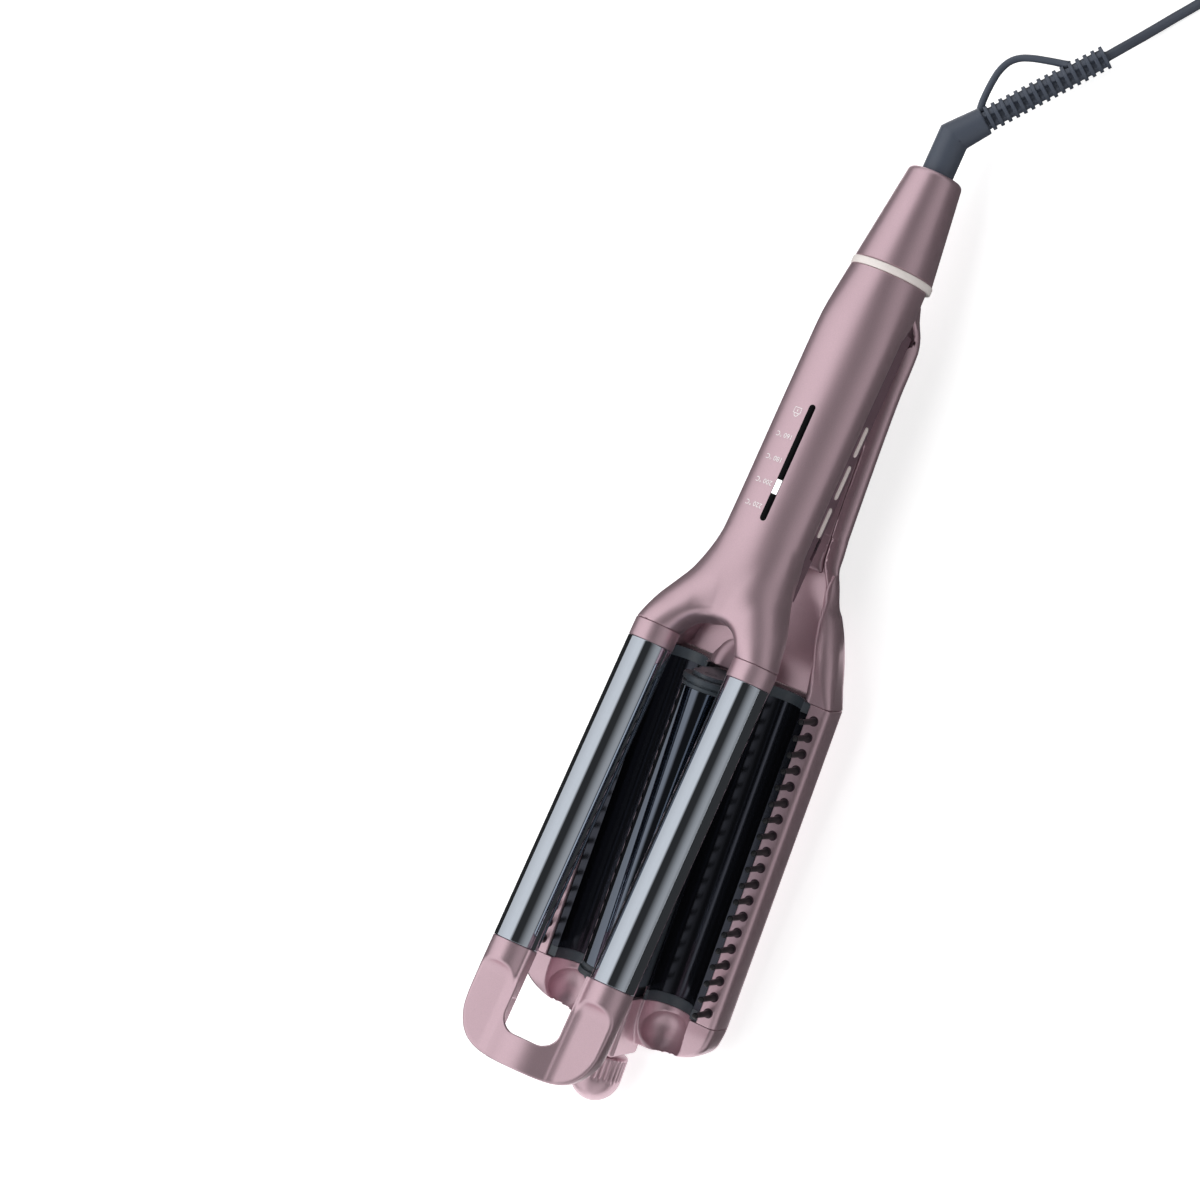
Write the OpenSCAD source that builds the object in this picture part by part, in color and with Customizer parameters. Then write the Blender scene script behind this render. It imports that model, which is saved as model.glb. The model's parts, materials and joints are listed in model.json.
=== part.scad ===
// Hair waver with two upper barrels, a lift-adjustable centre barrel and two bristle combs.
// Lower arm frame: X runs from the rear seam of the heated base (x = 0) to the tip, Y is across,
// Z is up and the top of the base's rims is z = 0. The upper arm is drawn closed in that frame.

/* [Heated section] */
// Length of the heated section, from the rear seam to the tip seam
heat_len = 132.3; // [120:0.1:150]
// Outside diameter of each upper barrel
barrel_d = 18; // [17:0.1:18.4]
// Wall of the barrels' metal tubes
tube_wall = 1.4; // [1:0.1:2]
// Distance between the axes of the two upper barrels
barrel_pitch = 42.8; // [42.4:0.1:43.4]
// Height of the closed barrels' axes above the rims
barrel_rise = 0.6; // [0.4:0.1:0.8]
// Inside radius of each trough
trough_r = 9.6; // [9.5:0.1:9.8]
// Sheet thickness of the trough plates
trough_t = 1.2; // [0.8:0.1:1.4]
// Length of the end bezels of the troughs and of the collars beyond the rear seam
bezel_len = 4.2; // [3:0.1:5]

/* [Base] */
// Gap between each trough plate and the rim beside it
rim_gap = 1.9; // [1.7:0.1:2.4]
// Width of each rim
rim_w = 8.6; // [8.2:0.1:10]
// Depth of the base below its rims
base_depth = 20.5; // [20:0.1:24]
// Wall of the plastic casings
casing_wall = 2.2; // [1.8:0.1:2.4]
// Radius of the base's lower long edges
base_edge_r = 9; // [6:0.5:10]
// Radius of the rims' outer edges
rim_edge_r = 3; // [1:0.5:4]

/* [Combs] */
// Spacing of the bristles
bristle_pitch = 6.74; // [6:0.01:8]
// Distance of the first bristle from the rear seam
bristle_start = 5.6; // [5.4:0.1:7]
// Least distance of the last bristle from the tip seam
bristle_end = 5; // [4.8:0.1:7]
// Height of the bristles above the rims
bristle_h = 14; // [8:0.5:16]
// Root diameter of a bristle
bristle_d = 2.8; // [2:0.1:3]
// Distance of the comb's row out from the rim's inner edge
comb_in = 3.6; // [3.3:0.1:4.3]

/* [Centre barrel] */
// Outside diameter of the centre barrel
centre_d = 19.2; // [18:0.1:19.6]
// Height of its axis above the rims when raised
centre_z = 21.5; // [21:0.1:24]
// Height of the carriage's top when raised
carriage_top = 9.3; // [9:0.1:10]
// Height of the adjusting knob's axis
knob_z = -6.5; // [-6.6:0.1:-6.3]
// Outside diameter of the adjusting knob
knob_d = 20.4; // [18:0.1:20.6]
// Length of the adjusting knob
knob_len = 20.4; // [16:0.1:24]

/* [Tip] */
// How far the tip cap reaches past the tip seam
cap_len = 19.7; // [18:0.1:22]
// How far the middle block reaches past the tip seam
block_len = 24.7; // [24:0.1:26]
// Height of the middle block above the rims
block_top = 9.5; // [9:0.1:10]
// How far the upper arm's tip bridge reaches past the tip seam
bridge_len = 39.7; // [38:0.1:44]
// Gap on each side of the middle block in the bridge's window
window_gap = 1.8; // [1.4:0.1:2.1]

/* [Handle] */
// Distance from the rear seam back to the trim ring's front
handle_len = 161; // [160:0.5:176]
// Half width of the handle's upper shell
handle_half = 16.6; // [16.2:0.1:17]
// Height of the handle's crown
crown_z = 2; // [1:0.1:3]
// Wall of the handle's upper shell
shell_wall = 1.8; // [1.4:0.1:2]
// How far the band with the buttons is set in from the handle's side
band_inset = 1.1; // [0.9:0.1:1.3]
// Height of the band's underside
band_low = -24.4; // [-24.6:0.1:-24]
// Height of the lower handle shell's edge
lower_edge = -25; // [-25.6:0.1:-24.9]
// Depth of the lower handle shell
lower_depth = 11; // [10.5:0.1:12]
// How far the lower handle shell stands out beyond the upper shell
lower_proud = 0.4; // [0.1:0.1:0.9]

/* [Hinge and swivel] */
// Angle between the arms when the waver stands open
open_angle = 12.5; // [8:0.5:12.5]
// Height of the hinge pin and of the cone's axis
hinge_z = -17.5; // [-17.6:0.1:-17.4]
// Distance from the trim ring's front back to the hinge pin
hinge_back = 7; // [6:0.1:8]
// Diameter of the hinge pin
pin_d = 4; // [3:0.1:4.5]
// Radius of the trim ring
ring_r = 16.6; // [16.4:0.1:17]
// Length of the rear cone
cone_len = 40.8; // [38:0.1:46]
// Radius of the cone's end
cone_end_r = 10.7; // [10:0.1:12]
// Diameter of the swivel's neck
neck_d = 12.7; // [11:0.1:13]
// Lean of the lower arm when the waver stands on a table
lean = 4.7; // [4.4:0.01:4.9]

/* [Buttons] */
// Height of a button's face
button_h = 2.2; // [1.8:0.1:3]
// How far a button stands out of the band
button_proud = 0.6; // [0.3:0.1:1]
// Height of the buttons' row
button_z = -19.4; // [-19.6:0.1:-18.6]
// Width of the display window
led_w = 2.6; // [2:0.1:3.4]

/* [Plug] */
// Spacing of the plug's pins
plug_pitch = 18.6; // [17:0.1:19]
// Diameter of the plug's pins
plug_pin_d = 4; // [4:0.1:4.8]

/* [Hidden] */
$fn = 48;
EPS = 0.01;
RUN = 0.05;                  // radial clearance of a shaft in its hole
SEAT = 0.3;                  // gap of a seated piece
CLEAR = 0.6;                 // gap round pieces that pass each other
RING_POINTS = 6;             // points in each quarter of a lofted section
ROSE = [0.58, 0.47, 0.51];
DARK = [0.1, 0.11, 0.13];
GREY = [0.24, 0.26, 0.29];
STEEL = [0.6, 0.62, 0.65];

barrel_r = barrel_d / 2;
barrel_y = barrel_pitch / 2;
trough_outer = trough_r + trough_t;
rim_inner = barrel_y + trough_outer + rim_gap;
base_half = rim_inner + rim_w;
comb_y = rim_inner + comb_in;
bristle_count = floor((heat_len - bristle_start - bristle_end) / bristle_pitch) + 1;
carriage_half = barrel_y - trough_outer - SEAT;
arch_gap = 0.3;              // gap between the tip cap's arches and the line of the troughs
block_half = barrel_y - trough_r - arch_gap - 1.3;
window_half = block_half + window_gap;
bridge_half = barrel_y + barrel_r + 0.3;
band_half = handle_half - band_inset;
lower_half = handle_half + lower_proud;
centre_r = centre_d / 2;
hinge_x = -handle_len - hinge_back;
ring_len = 3.2;
cone_x = -handle_len - ring_len;
cone_end_x = cone_x - cone_len;
pinion_r = 3;                // pitch radius of the lift pinion
pinion_teeth = 8;
tooth_gap = 2 * PI * pinion_r / pinion_teeth;
lift = PI * pinion_r;        // half a turn of the knob
floor_z = -base_depth + casing_wall;
knob_x = heat_len + block_len + 2.3;
floor_drop = 31.78;          // height of the rims' plane above the table at the rear seam
centre_shift = 28.27;        // puts the origin half way along the waver

// ---- placing ----
module place_lower() {
    translate([centre_shift, 0, floor_drop]) rotate([0, lean, 0]) children();
}

module place_upper() {
    place_lower() translate([hinge_x, 0, hinge_z]) rotate([0, -open_angle, 0])
        translate([-hinge_x, 0, -hinge_z]) children();
}

module both_sides() {
    children();
    mirror([0, 1, 0]) children();
}

// A 2-D outline in (Y, Z) drawn out along X
module along_x(x0, length) {
    translate([x0, 0, 0]) rotate([90, 0, 90]) linear_extrude(length) children();
}

// A 2-D outline in (X, Z) drawn out along Y
module along_y(y0, width) {
    translate([0, y0 + width, 0]) rotate([90, 0, 0]) linear_extrude(width) children();
}

module rod_x(x0, length, r, y = 0, z = 0) {
    translate([x0, y, z]) rotate([0, 90, 0]) cylinder(h = length, r = r);
}

module rod_y(y0, length, r, x, z) {
    translate([x, y0, z]) rotate([-90, 0, 0]) cylinder(h = length, r = r);
}

module block(x, y, z) {
    translate([x[0], y[0], z[0]]) cube([x[1] - x[0], y[1] - y[0], z[1] - z[0]]);
}

// ---- smooth curves and lofts ----
function slope(k, i) =
    let (a = max(0, i - 1), b = min(len(k) - 1, i + 1)) (k[b][1] - k[a][1]) / (k[b][0] - k[a][0]);
function span(k, x, i = 0) = i >= len(k) - 2 || x < k[i + 1][0] ? i : span(k, x, i + 1);
// Value at x of the smooth curve through the points k
function curve(k, x) =
    let (i = span(k, x), h = k[i + 1][0] - k[i][0], t = min(1, max(0, (x - k[i][0]) / h)))
    k[i][1] * (1 + 2 * t) * (1 - t) * (1 - t) + k[i + 1][1] * t * t * (3 - 2 * t)
    + slope(k, i) * h * t * (1 - t) * (1 - t) - slope(k, i + 1) * h * t * t * (1 - t);

// Rounded section at x: half width w, top and bottom heights, corner sizes [across, up]
function section(x, w, top, bottom, ct, cb, y = 0) = [
    for (q = [0 : 3], s = [0 : RING_POINTS - 1])
        let (a = 90 * (q + s / (RING_POINTS - 1)), upper = q < 2, c = upper ? ct : cb,
             cap_z = min(ct[1], (top - bottom) / 2 - 0.1),
             cx = min(c[0], w - 0.3), cz = upper ? cap_z : min(c[1], top - bottom - cap_z - 0.1),
             mid_y = (q == 0 || q == 3 ? 1 : -1) * (w - cx),
             mid_z = upper ? top - cz : bottom + cz)
        [x, y + mid_y + cx * cos(a), mid_z + cz * sin(a)]
];

// Oval section at x with half width a
function oval(x, y, a, top, bottom) = [
    for (s = [0 : 4 * RING_POINTS - 1])
        let (t = 90 * s / RING_POINTS)
        [x, y + a * cos(t), (top + bottom) / 2 + (top - bottom) / 2 * sin(t)]
];

// Solid through sections of the same number of points, in rising x
module loft(rings) {
    n = len(rings[0]);
    last = len(rings) - 1;
    polyhedron(
        points = [for (r = rings, p = r) p],
        faces = concat(
            [[for (i = [n - 1 : -1 : 0]) n - 1 - i]],
            [[for (i = [0 : n - 1]) last * n + n - 1 - i]],
            [for (k = [0 : last - 1], i = [0 : n - 1])
                let (j = (i + 1) % n)
                each [[k * n + i, (k + 1) * n + i, (k + 1) * n + j], [k * n + i, (k + 1) * n + j, k * n + j]]]
        )
    );
}

// ---- tubes along a line of points ----
function unit(v) = v / norm(v);
function heading(p, i) = unit(p[min(i + 1, len(p) - 1)] - p[max(i - 1, 0)]);
function side_of(h) = unit(cross(h, abs(h[2]) > 0.9 ? [1, 0, 0] : [0, 0, 1]));
module tube_along(p, r, sides = 8) {
    last = len(p) - 1;
    polyhedron(
        points = [for (i = [0 : last], s = [0 : sides - 1])
            let (h = heading(p, i), u = side_of(h), v = cross(h, u), a = 360 * (s + 0.5) / sides)
            p[i] + r * (cos(a) * u + sin(a) * v)],
        faces = concat(
            [[for (s = [0 : sides - 1]) s]],
            [[for (s = [0 : sides - 1]) last * sides + sides - 1 - s]],
            [for (k = [0 : last - 1], s = [0 : sides - 1])
                let (t = (s + 1) % sides)
                each [[k * sides + s, (k + 1) * sides + s, (k + 1) * sides + t],
                      [k * sides + s, (k + 1) * sides + t, k * sides + t]]]
        )
    );
}

// ---- upper arm ----
fork_seam = -3.2;
arch_r = window_half;
arch_x = fork_seam + 0.3;
web_x = arch_x - arch_r;
barrel_top = barrel_rise + barrel_r;
barrel_bottom = barrel_rise - barrel_r;
fork_back = -50;
leg_mid = [[fork_back, 3.6], [-40, 4.2], [-30, 7], [-22, 10.6], [-15, 14.2], [-9, 18.2],
           [fork_seam, barrel_y]];
leg_half = [[fork_back, 13.1], [-40, 13.2], [-30, 13.4], [-22, 13.4], [-15, 12.9], [-9, 10.7],
            [fork_seam, barrel_r]];
leg_top = [[fork_back, crown_z], [-40, crown_z + 0.4], [-30, 4.2], [-22, 6.2], [-15, 7.8], [-9, 9.1],
           [fork_seam, barrel_top]];
leg_low = [[fork_back, -13.5], [-40, -18], [-30, -21], [-22, -18.5], [-15, -14], [-9, -10.5],
           [fork_seam, barrel_bottom]];

// One leg of the fork, made larger all round by grow
module fork_leg(grow = 0, x_end = fork_seam, x_start = fork_back) {
    loft([for (s = [0 : 13])
        let (x = x_start + (x_end - x_start) * s / 13)
        oval(x, curve(leg_mid, x), curve(leg_half, x) + grow,
             curve(leg_top, x) + grow, curve(leg_low, x) - grow)]);
}

// Slanting hole for the heater's wires, from the leg's hollow to the barrel
wire_hole_r = 4.2;
wire_way_from = [-22, 12.5, -5.5];
module wire_way() {
    run = [fork_seam - 3.8, barrel_y - 0.8, barrel_rise - 0.6] - wire_way_from;
    translate(wire_way_from) rotate([0, 0, atan2(run[1], run[0])]) rotate([0, acos(run[2] / norm(run)), 0])
        cylinder(h = norm(run), r = 4);
}

module fork_arch(grow = 0) {
    translate([arch_x, 0, -30]) cylinder(h = 60, r = arch_r - grow);
    block([arch_x, heat_len], [-arch_r + grow, arch_r - grow], [-30, 30]);
}

shell_back = -handle_len;
band_back = shell_back + 17.5;
shell_half = [[shell_back, ring_r - 0.4], [shell_back + 16, handle_half - 0.1], [-100, handle_half],
              [fork_back, handle_half + 0.1], [-38, handle_half + 0.9], [-30, 19.4]];
shell_top = [[shell_back, hinge_z + ring_r - 0.3], [shell_back + 11, crown_z - 1.4],
             [shell_back + 21, crown_z - 0.2], [shell_back + 31, crown_z], [fork_back, crown_z],
             [-40, crown_z + 0.4], [-30, 4]];
shell_edge = [[shell_back, hinge_z + 0.2], [band_back - 2, hinge_z + 0.2], [band_back + 5, -13.3],
              [fork_back, -13.3], [-40, -15.5], [-30, -17]];
shell_stations = concat([for (s = [0 : 9]) shell_back + 3 * s],
                        [shell_back + 45, -90, -70, fork_back, -44, -38, -32]);

module handle_form(inset = 0) {
    loft([for (x = shell_stations)
        let (top = curve(shell_top, x), edge = curve(shell_edge, x),
             round_z = min(12 - inset, top - edge - 0.4))
        section(x, curve(shell_half, x) - inset, top - inset, edge - inset * 2,
                [curve(shell_half, x) - inset - 0.4, x < band_back ? top - edge - 0.3 : round_z],
                [0.4, 0.4])]);
}

module upper_shell() {
    color(ROSE) place_upper() difference() {
        union() {
            handle_form();
            both_sides() fork_leg();
        }
        intersection() {
            handle_form(shell_wall);
            block([shell_back - 1, fork_back], [-30, 30], [-40, 30]);
        }
        both_sides() fork_leg(-shell_wall, -20, fork_back - 1);
        both_sides() wire_way();
        both_sides() rod_x(fork_seam - 5, 6, wire_hole_r, barrel_y, barrel_rise);
        rod_x(shell_back - EPS, 3, ring_r - 0.4 - shell_wall, 0, hinge_z);
        fork_arch();
        block([led_back - led_gap, led_front + led_gap], [-led_w / 2 - led_gap, led_w / 2 + led_gap], [-6, 6]);
    }
}

band_wall = 1.8;
band_front = -33;
band_top = -13.6;
button_gap = 0.25;
led_gap = SEAT / 2;
led_back = -102;
led_front = -56.2;
power_x = [-105.1, -92.6];
minus_x = [-88.9, -74.8];
plus_x = [-71.2, -58.8];
lock_x = [-59.2, -50.1];
lock_z = -22.6;
lock_travel = 3.5;
board_z = -16.8;
board_back = band_back + 4;
board_front = fork_back - 10;

// Rounded bar outline from x[0] to x[1] at height z, h high, drawn out along Y
module pill(x, y, z, h) {
    along_y(y[0], y[1] - y[0]) {
        translate([x[0] + h / 2, z - h / 2]) square([x[1] - x[0] - h, h]);
        translate([x[0] + h / 2, z]) circle(d = h);
        translate([x[1] - h / 2, z]) circle(d = h);
    }
}

module inner_frame() {
    color(ROSE) place_upper() difference() {
        block([band_back + EPS, band_front], [-band_half, band_half], [band_low, band_top]);
        difference() {
            block([band_back + band_wall, fork_back - 4], [-band_half + band_wall, band_half - band_wall],
                  [band_low + band_wall, 0]);
            for (x = [board_back + 4, board_front - 4], y = [-7, 7])
                translate([x, y, band_low]) cylinder(h = board_z - band_low, r = 1.6);
        }
        both_sides() fork_leg(SEAT, fork_seam, fork_back - 5);
        translate([0, 0, -SEAT]) handle_form();
        for (x = [power_x, minus_x, plus_x])
            pill([x[0] - button_gap, x[1] + button_gap], [band_half - 3, band_half + 1], button_z,
                 button_h + 2 * button_gap);
        block([lock_x[0], lock_x[1]], [band_half - 2.4, band_half + 1], [lock_z - 1.3, lock_z + 1.3]);
    }
}

module led_window() {
    color(DARK) place_upper() difference() {
        block([led_back, led_front], [-led_w / 2, led_w / 2], [crown_z - shell_wall - 0.6, crown_z - 0.05]);
        block([led_mid - led_half - led_gap, led_mid + led_half + led_gap], [-led_w, led_w], [led_low, 5]);
    }
}

led_mid = -69;
led_half = 2.6;
led_low = crown_z - 1.4;
module led_light() {
    color("white") place_upper()
        block([led_mid - led_half, led_mid + led_half], [-led_w / 2, led_w / 2], [led_low, crown_z - 0.05]);
}

module display_board() {
    color([0.1, 0.3, 0.16]) place_upper() {
        top = crown_z - shell_wall - 0.9;
        block([led_back - 3, led_front + 3], [-6, 6], [top - 1.5, top]);
        for (x = [led_back + 5 : 9 : led_front]) block([x, x + 3], [-0.8, 0.8], [top - 0.3, top + 0.25]);
    }
}

module main_board() {
    color([0.1, 0.3, 0.16]) place_upper() {
        block([board_back, board_front], [-10, 10], [board_z, board_z + 1.6]);
        block([board_back + 11.5, board_back + 27.5], [-8, 4], [board_z + 1.6, board_z + 10]);
        rod_x(board_back + 31.5, 14, 4, -4, board_z + 5.6);
        for (x = [board_front - 28, board_front - 16])
            translate([x, 3, board_z + 1.5]) cylinder(h = 6, r = 3.2);
    }
}

button_travel = 0.6;
switch_y = band_half - 4.4;
switch_h = 0.8;
module button_board() {
    color([0.1, 0.3, 0.16]) place_upper() {
        block([power_x[0] - 2, plus_x[1] + 2], [switch_y - 1.2, switch_y],
              [band_low + band_wall + SEAT, board_z - SEAT]);
        for (x = [power_x, minus_x, plus_x])
            block([(x[0] + x[1]) / 2 - 2, (x[0] + x[1]) / 2 + 2], [switch_y - EPS, switch_y + switch_h],
                  [button_z - 1.8, button_z + 1.8]);
    }
}

module side_button(x) {
    color([0.85, 0.8, 0.8]) place_upper() {
        pill(x, [band_half - band_wall - 0.3, band_half + button_proud], button_z, button_h);
        block([(x[0] + x[1]) / 2 - 1, (x[0] + x[1]) / 2 + 1],
              [switch_y + switch_h + button_travel + 0.1, band_half - 1], [button_z - 0.8, button_z + 0.8]);
    }
}

module power_button() side_button(power_x);
module minus_button() side_button(minus_x);
module plus_button() side_button(plus_x);

module lock_slider() {
    color(ROSE * 0.8) place_upper() {
        block([lock_x[0] + 0.3, lock_x[1] - lock_travel - 0.3], [band_half - 2.1, band_half - 0.3],
              [lock_z - 1.05, lock_z + 1.05]);
        for (s = [0 : 2])
            block([lock_x[0] + 1.2 + 1.4 * s, lock_x[0] + 1.8 + 1.4 * s], [band_half - 1, band_half + 0.2],
                  [lock_z - 0.9, lock_z + 0.9]);
    }
}

module barrel_collars() {
    color(ROSE) place_upper() both_sides() difference() {
        union() {
            rod_x(fork_seam, bezel_len - fork_seam, barrel_r, barrel_y, barrel_rise);
            rod_x(bezel_len - EPS, 6, barrel_r - tube_wall - RUN, barrel_y, barrel_rise);
        }
        rod_x(fork_seam - 1, 30, wire_hole_r, barrel_y, barrel_rise);
    }
}

barrel_end = heat_len - 3.6;
module barrel_tube(side) {
    place_upper() difference() {
        rod_x(bezel_len, barrel_end - bezel_len, barrel_r, side * barrel_y, barrel_rise);
        rod_x(bezel_len - 1, barrel_end, barrel_r - tube_wall, side * barrel_y, barrel_rise);
    }
}

module upper_barrel_left() color(DARK) barrel_tube(-1);
module upper_barrel_right() color(DARK) barrel_tube(1);

heater_back = bezel_len + 12;
heater_front = heat_len - 26;
module barrel_heater(side) {
    wire_back = fork_seam - 4;
    place_upper() translate([0, side * barrel_y, barrel_rise]) {
        rod_x(heater_back, heater_front - heater_back, barrel_r - tube_wall - SEAT);
        for (y = [-1.5, 1.5]) rod_x(wire_back, heater_back - wire_back + EPS, 0.9, y);
    }
}

module barrel_heater_left() color("ivory") barrel_heater(-1);
module barrel_heater_right() color("ivory") barrel_heater(1);

window_x = heat_len + 27.7;
window_r = 7;
scoop_x = heat_len + 4.2;
scoop_z = barrel_rise + 4.1;
bar_low = knob_z + knob_d / 2 + CLEAR;
bar_round = 23;
bar_top = scoop_z + 4.4;
bridge_x = barrel_end;
wall_top = 1;
plate_low = wall_top + 0.7;

// Plan outline of the bridge: a rounded front, and the window open to the rear
module bridge_plan() {
    reach = heat_len + bridge_len - bridge_x;
    difference() {
        polygon([for (a = [-90 : 3 : 90])
            [bridge_x + reach * pow(cos(a), 0.5), bridge_half * sign(a) * pow(abs(sin(a)), 0.5)]]);
        translate([0, -window_half]) square([window_x - window_r, 2 * window_half]);
        translate([0, -window_half + window_r]) square([window_x, 2 * (window_half - window_r)]);
        for (s = [-1, 1]) translate([window_x - window_r, s * (window_half - window_r)]) circle(r = window_r);
    }
}

module bridge_side() {
    front = heat_len + bridge_len;
    polygon([[bridge_x, barrel_bottom], [heat_len + 13, barrel_bottom], [front - 4, 0.4], [front + 1, 2.6],
             [front + 1, barrel_top + 1], [bridge_x, barrel_top + 1]]);
}

module bridge_across() {
    for (s = [-1, 1]) translate([s * barrel_y, barrel_rise]) circle(r = barrel_r);
    difference() {
        translate([-barrel_y, plate_low]) square([2 * barrel_y, bar_top - plate_low]);
        difference() {
            translate([-barrel_y - 1, scoop_z]) square([2 * barrel_y + 2, 10]);
            translate([0, bar_top - bar_round]) circle(r = bar_round, $fn = 96);
        }
    }
}

module bridge_scoop() {
    run = 8;
    along_y(window_half + 1.2, bridge_half) difference() {
        translate([scoop_x, scoop_z - 0.6]) square([60, 20]);
        difference() {
            translate([scoop_x - 1, scoop_z - 1]) square([run + 1, run + 1]);
            translate([scoop_x + run, scoop_z - 0.6 + run]) circle(r = run);
        }
    }
}

module tip_bridge() {
    color(ROSE) place_upper() {
        difference() {
            intersection() {
                translate([0, 0, -20]) linear_extrude(40) bridge_plan();
                along_y(-40, 80) bridge_side();
                along_x(bridge_x, 60) bridge_across();
            }
            both_sides() bridge_scoop();
            block([window_x - 12, window_x + 30], [-window_half - 0.4, window_half + 0.4], [-20, bar_low]);
        }
        both_sides() rod_x(bridge_x - 8, 8 + EPS, barrel_r - tube_wall - RUN, barrel_y, barrel_rise);
    }
}

// ---- hinge, cone and cord swivel ----
// Hollow body turned about the cone's axis, from (distance back, radius) points
module turned(points) {
    translate([0, 0, hinge_z]) rotate([0, -90, 0]) rotate_extrude($fn = 72) polygon(points);
}

cone_wall = 2;
neck_hole = neck_d / 2 + RUN;
module rear_cone() {
    back = -cone_end_x;
    color(ROSE) place_upper() turned([
        [ring_r - 0.6, -cone_x], [cone_end_r + 0.4, back - 2], [cone_end_r - 0.9, back],
        [neck_hole, back], [neck_hole, back - 2.2], [cone_end_r - cone_wall + 0.4, back - 2.2],
        [ring_r - 0.6 - cone_wall, -cone_x]
    ]);
}

module trim_ring() {
    color([0.93, 0.9, 0.88]) place_upper() difference() {
        turned([[0, handle_len], [ring_r, handle_len], [ring_r - 0.5, handle_len + ring_len],
                [0, handle_len + ring_len]]);
        rod_x(cone_x - 1, 10, ring_r - 2.2, 0, hinge_z);
    }
}

cheek_in = 6.6;
cheek_out = 9.8;
disc_x = hinge_x - 13;
disc_r = ring_r - 0.6 - (cone_x - disc_x) * (ring_r - 0.6 - cone_end_r) / cone_len - cone_wall - SEAT;
module hinge_block() {
    color(GREY) place_upper() difference() {
        union() {
            rod_x(disc_x, 3, disc_r, 0, hinge_z);
            both_sides() block([disc_x + 1, hinge_x + 4.5], [cheek_in, cheek_out],
                               [hinge_z - 4.5, hinge_z + 4.5]);
        }
        rod_y(-20, 40, pin_d / 2, hinge_x, hinge_z);
        rod_x(disc_x - 1, 6, 3, 0, hinge_z);
    }
}

pin_half = 12.6;
module hinge_pin() color(STEEL) place_upper() rod_y(-pin_half, 2 * pin_half, pin_d / 2, hinge_x, hinge_z);

spring_r = 3.4;
spring_turns = 6;
wire_r = 0.5;
seat_back = 16.8;            // the lower arm's spring seat, measured from the hinge
seat_front = 25;
seat_drop = [9.7, 8.5];      // below the hinge, at its back and front
seat_mid = [(seat_back + seat_front) / 2, -(seat_drop[0] + seat_drop[1]) / 2];
spring_x = hinge_x + seat_mid[0] * cos(open_angle) + seat_mid[1] * sin(open_angle);
spring_low = hinge_z - seat_mid[0] * sin(open_angle) + seat_mid[1] * cos(open_angle) + wire_r + 2 * SEAT;
spring_high = curve(shell_top, spring_x) - shell_wall - SEAT - wire_r;
module arm_spring() {
    steps = 12;
    color(STEEL) place_upper() {
        tube_along([for (s = [0 : spring_turns * steps])
            let (a = 360 * s / steps)
            [spring_x + spring_r * cos(a), spring_r * sin(a),
             spring_low + (spring_high - spring_low) * s / (spring_turns * steps)]], wire_r, 6);
    }
}

bend_back = 16.3;
relief_len = 52.6;
elbow_len = 13;
relief_turn = 39.6;
relief_dip = 4.1;
relief_r = 5;
module place_elbow() {
    place_upper() translate([cone_end_x - bend_back, 0, hinge_z])
        rotate([0, 0, -relief_turn]) rotate([0, -relief_dip, 0]) rotate([0, 0, 180]) children();
}

module swivel_elbow() {
    color(GREY) {
        place_upper() {
            rod_x(cone_end_x - bend_back, bend_back + 4.6, neck_d / 2, 0, hinge_z);
            rod_x(cone_end_x + 2.5, 2.1, cone_end_r - cone_wall + 0.1, 0, hinge_z);
            translate([cone_end_x - bend_back, 0, hinge_z]) sphere(r = neck_d / 2);
        }
        place_elbow() rotate([0, 90, 0]) cylinder(h = elbow_len, r1 = neck_d / 2, r2 = relief_r + 0.6);
    }
}

relief_ribs = 16;
module strain_relief() {
    pitch = (relief_len - 2) / relief_ribs;
    color(GREY) place_elbow() difference() {
        union() {
            rod_x(elbow_len, relief_len, relief_r - 1.2);
            for (s = [0 : relief_ribs - 1])
                translate([elbow_len + 0.4 + pitch * s, 0, 0]) rotate([0, 90, 0])
                    cylinder(h = pitch * 0.58, r = relief_r - 0.3 * s / relief_ribs);
        }
        rod_x(elbow_len + 4, relief_len, cord_d / 2 + 0.2);
    }
}

loop_points = [[14.4, 5.9, 0], [17, 8, 0.3], [20.4, 10.8, 0.6], [24.6, 13.6, 0.9], [29.4, 15.9, 1],
               [34.6, 16.2, 1], [39.4, 13.8, 0.8], [44, 10.9, 0.5], [48.4, 8.2, 0.2], [52.6, 6, 0]];
module hanging_loop() {
    color(GREY) place_elbow() tube_along(loop_points, 1.4);
}

// ---- lower arm ----
lower_back = shell_back + 5;
lower_half_w = [[lower_back, 11.4], [lower_back + 7, 12.8], [lower_back + 13, 15.2],
                [lower_back + 19, lower_half - 0.3], [-118, lower_half], [fork_back, lower_half + 0.2],
                [-41, 21.4], [-35, 24.8], [-32, 27.6], [-25, 32.2], [-15.5, 37], [-7, 40.2], [0, base_half]];
lower_bottom = lower_edge - lower_depth;
lower_top_z = [[lower_back, -20.4], [lower_back + 5, -21.4], [lower_back + 11.5, lower_edge],
               [-60, lower_edge], [fork_back, lower_edge + 0.8], [-40, -19], [-30, -10.6], [-20, -4],
               [-10, -0.8], [0, 0]];
lower_low_z = [[lower_back, -32], [lower_back + 8, -34.4], [lower_back + 19, lower_bottom],
               [-60, lower_bottom], [fork_back, lower_bottom], [-38, lower_bottom + 3.4], [-25, -27.4],
               [-12, -22.4], [0, -base_depth]];
lower_corner_y = [[lower_back, 10.8], [-118, lower_half - 0.6], [-60, lower_half - 0.6], [-35, 18],
                  [-15, 12], [0, base_edge_r]];
lower_corner_z = [[lower_back, 5.4], [-118, lower_depth - 1.6], [-60, lower_depth - 1.6], [-35, 12.4],
                  [-15, 10.6], [0, base_edge_r]];
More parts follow.
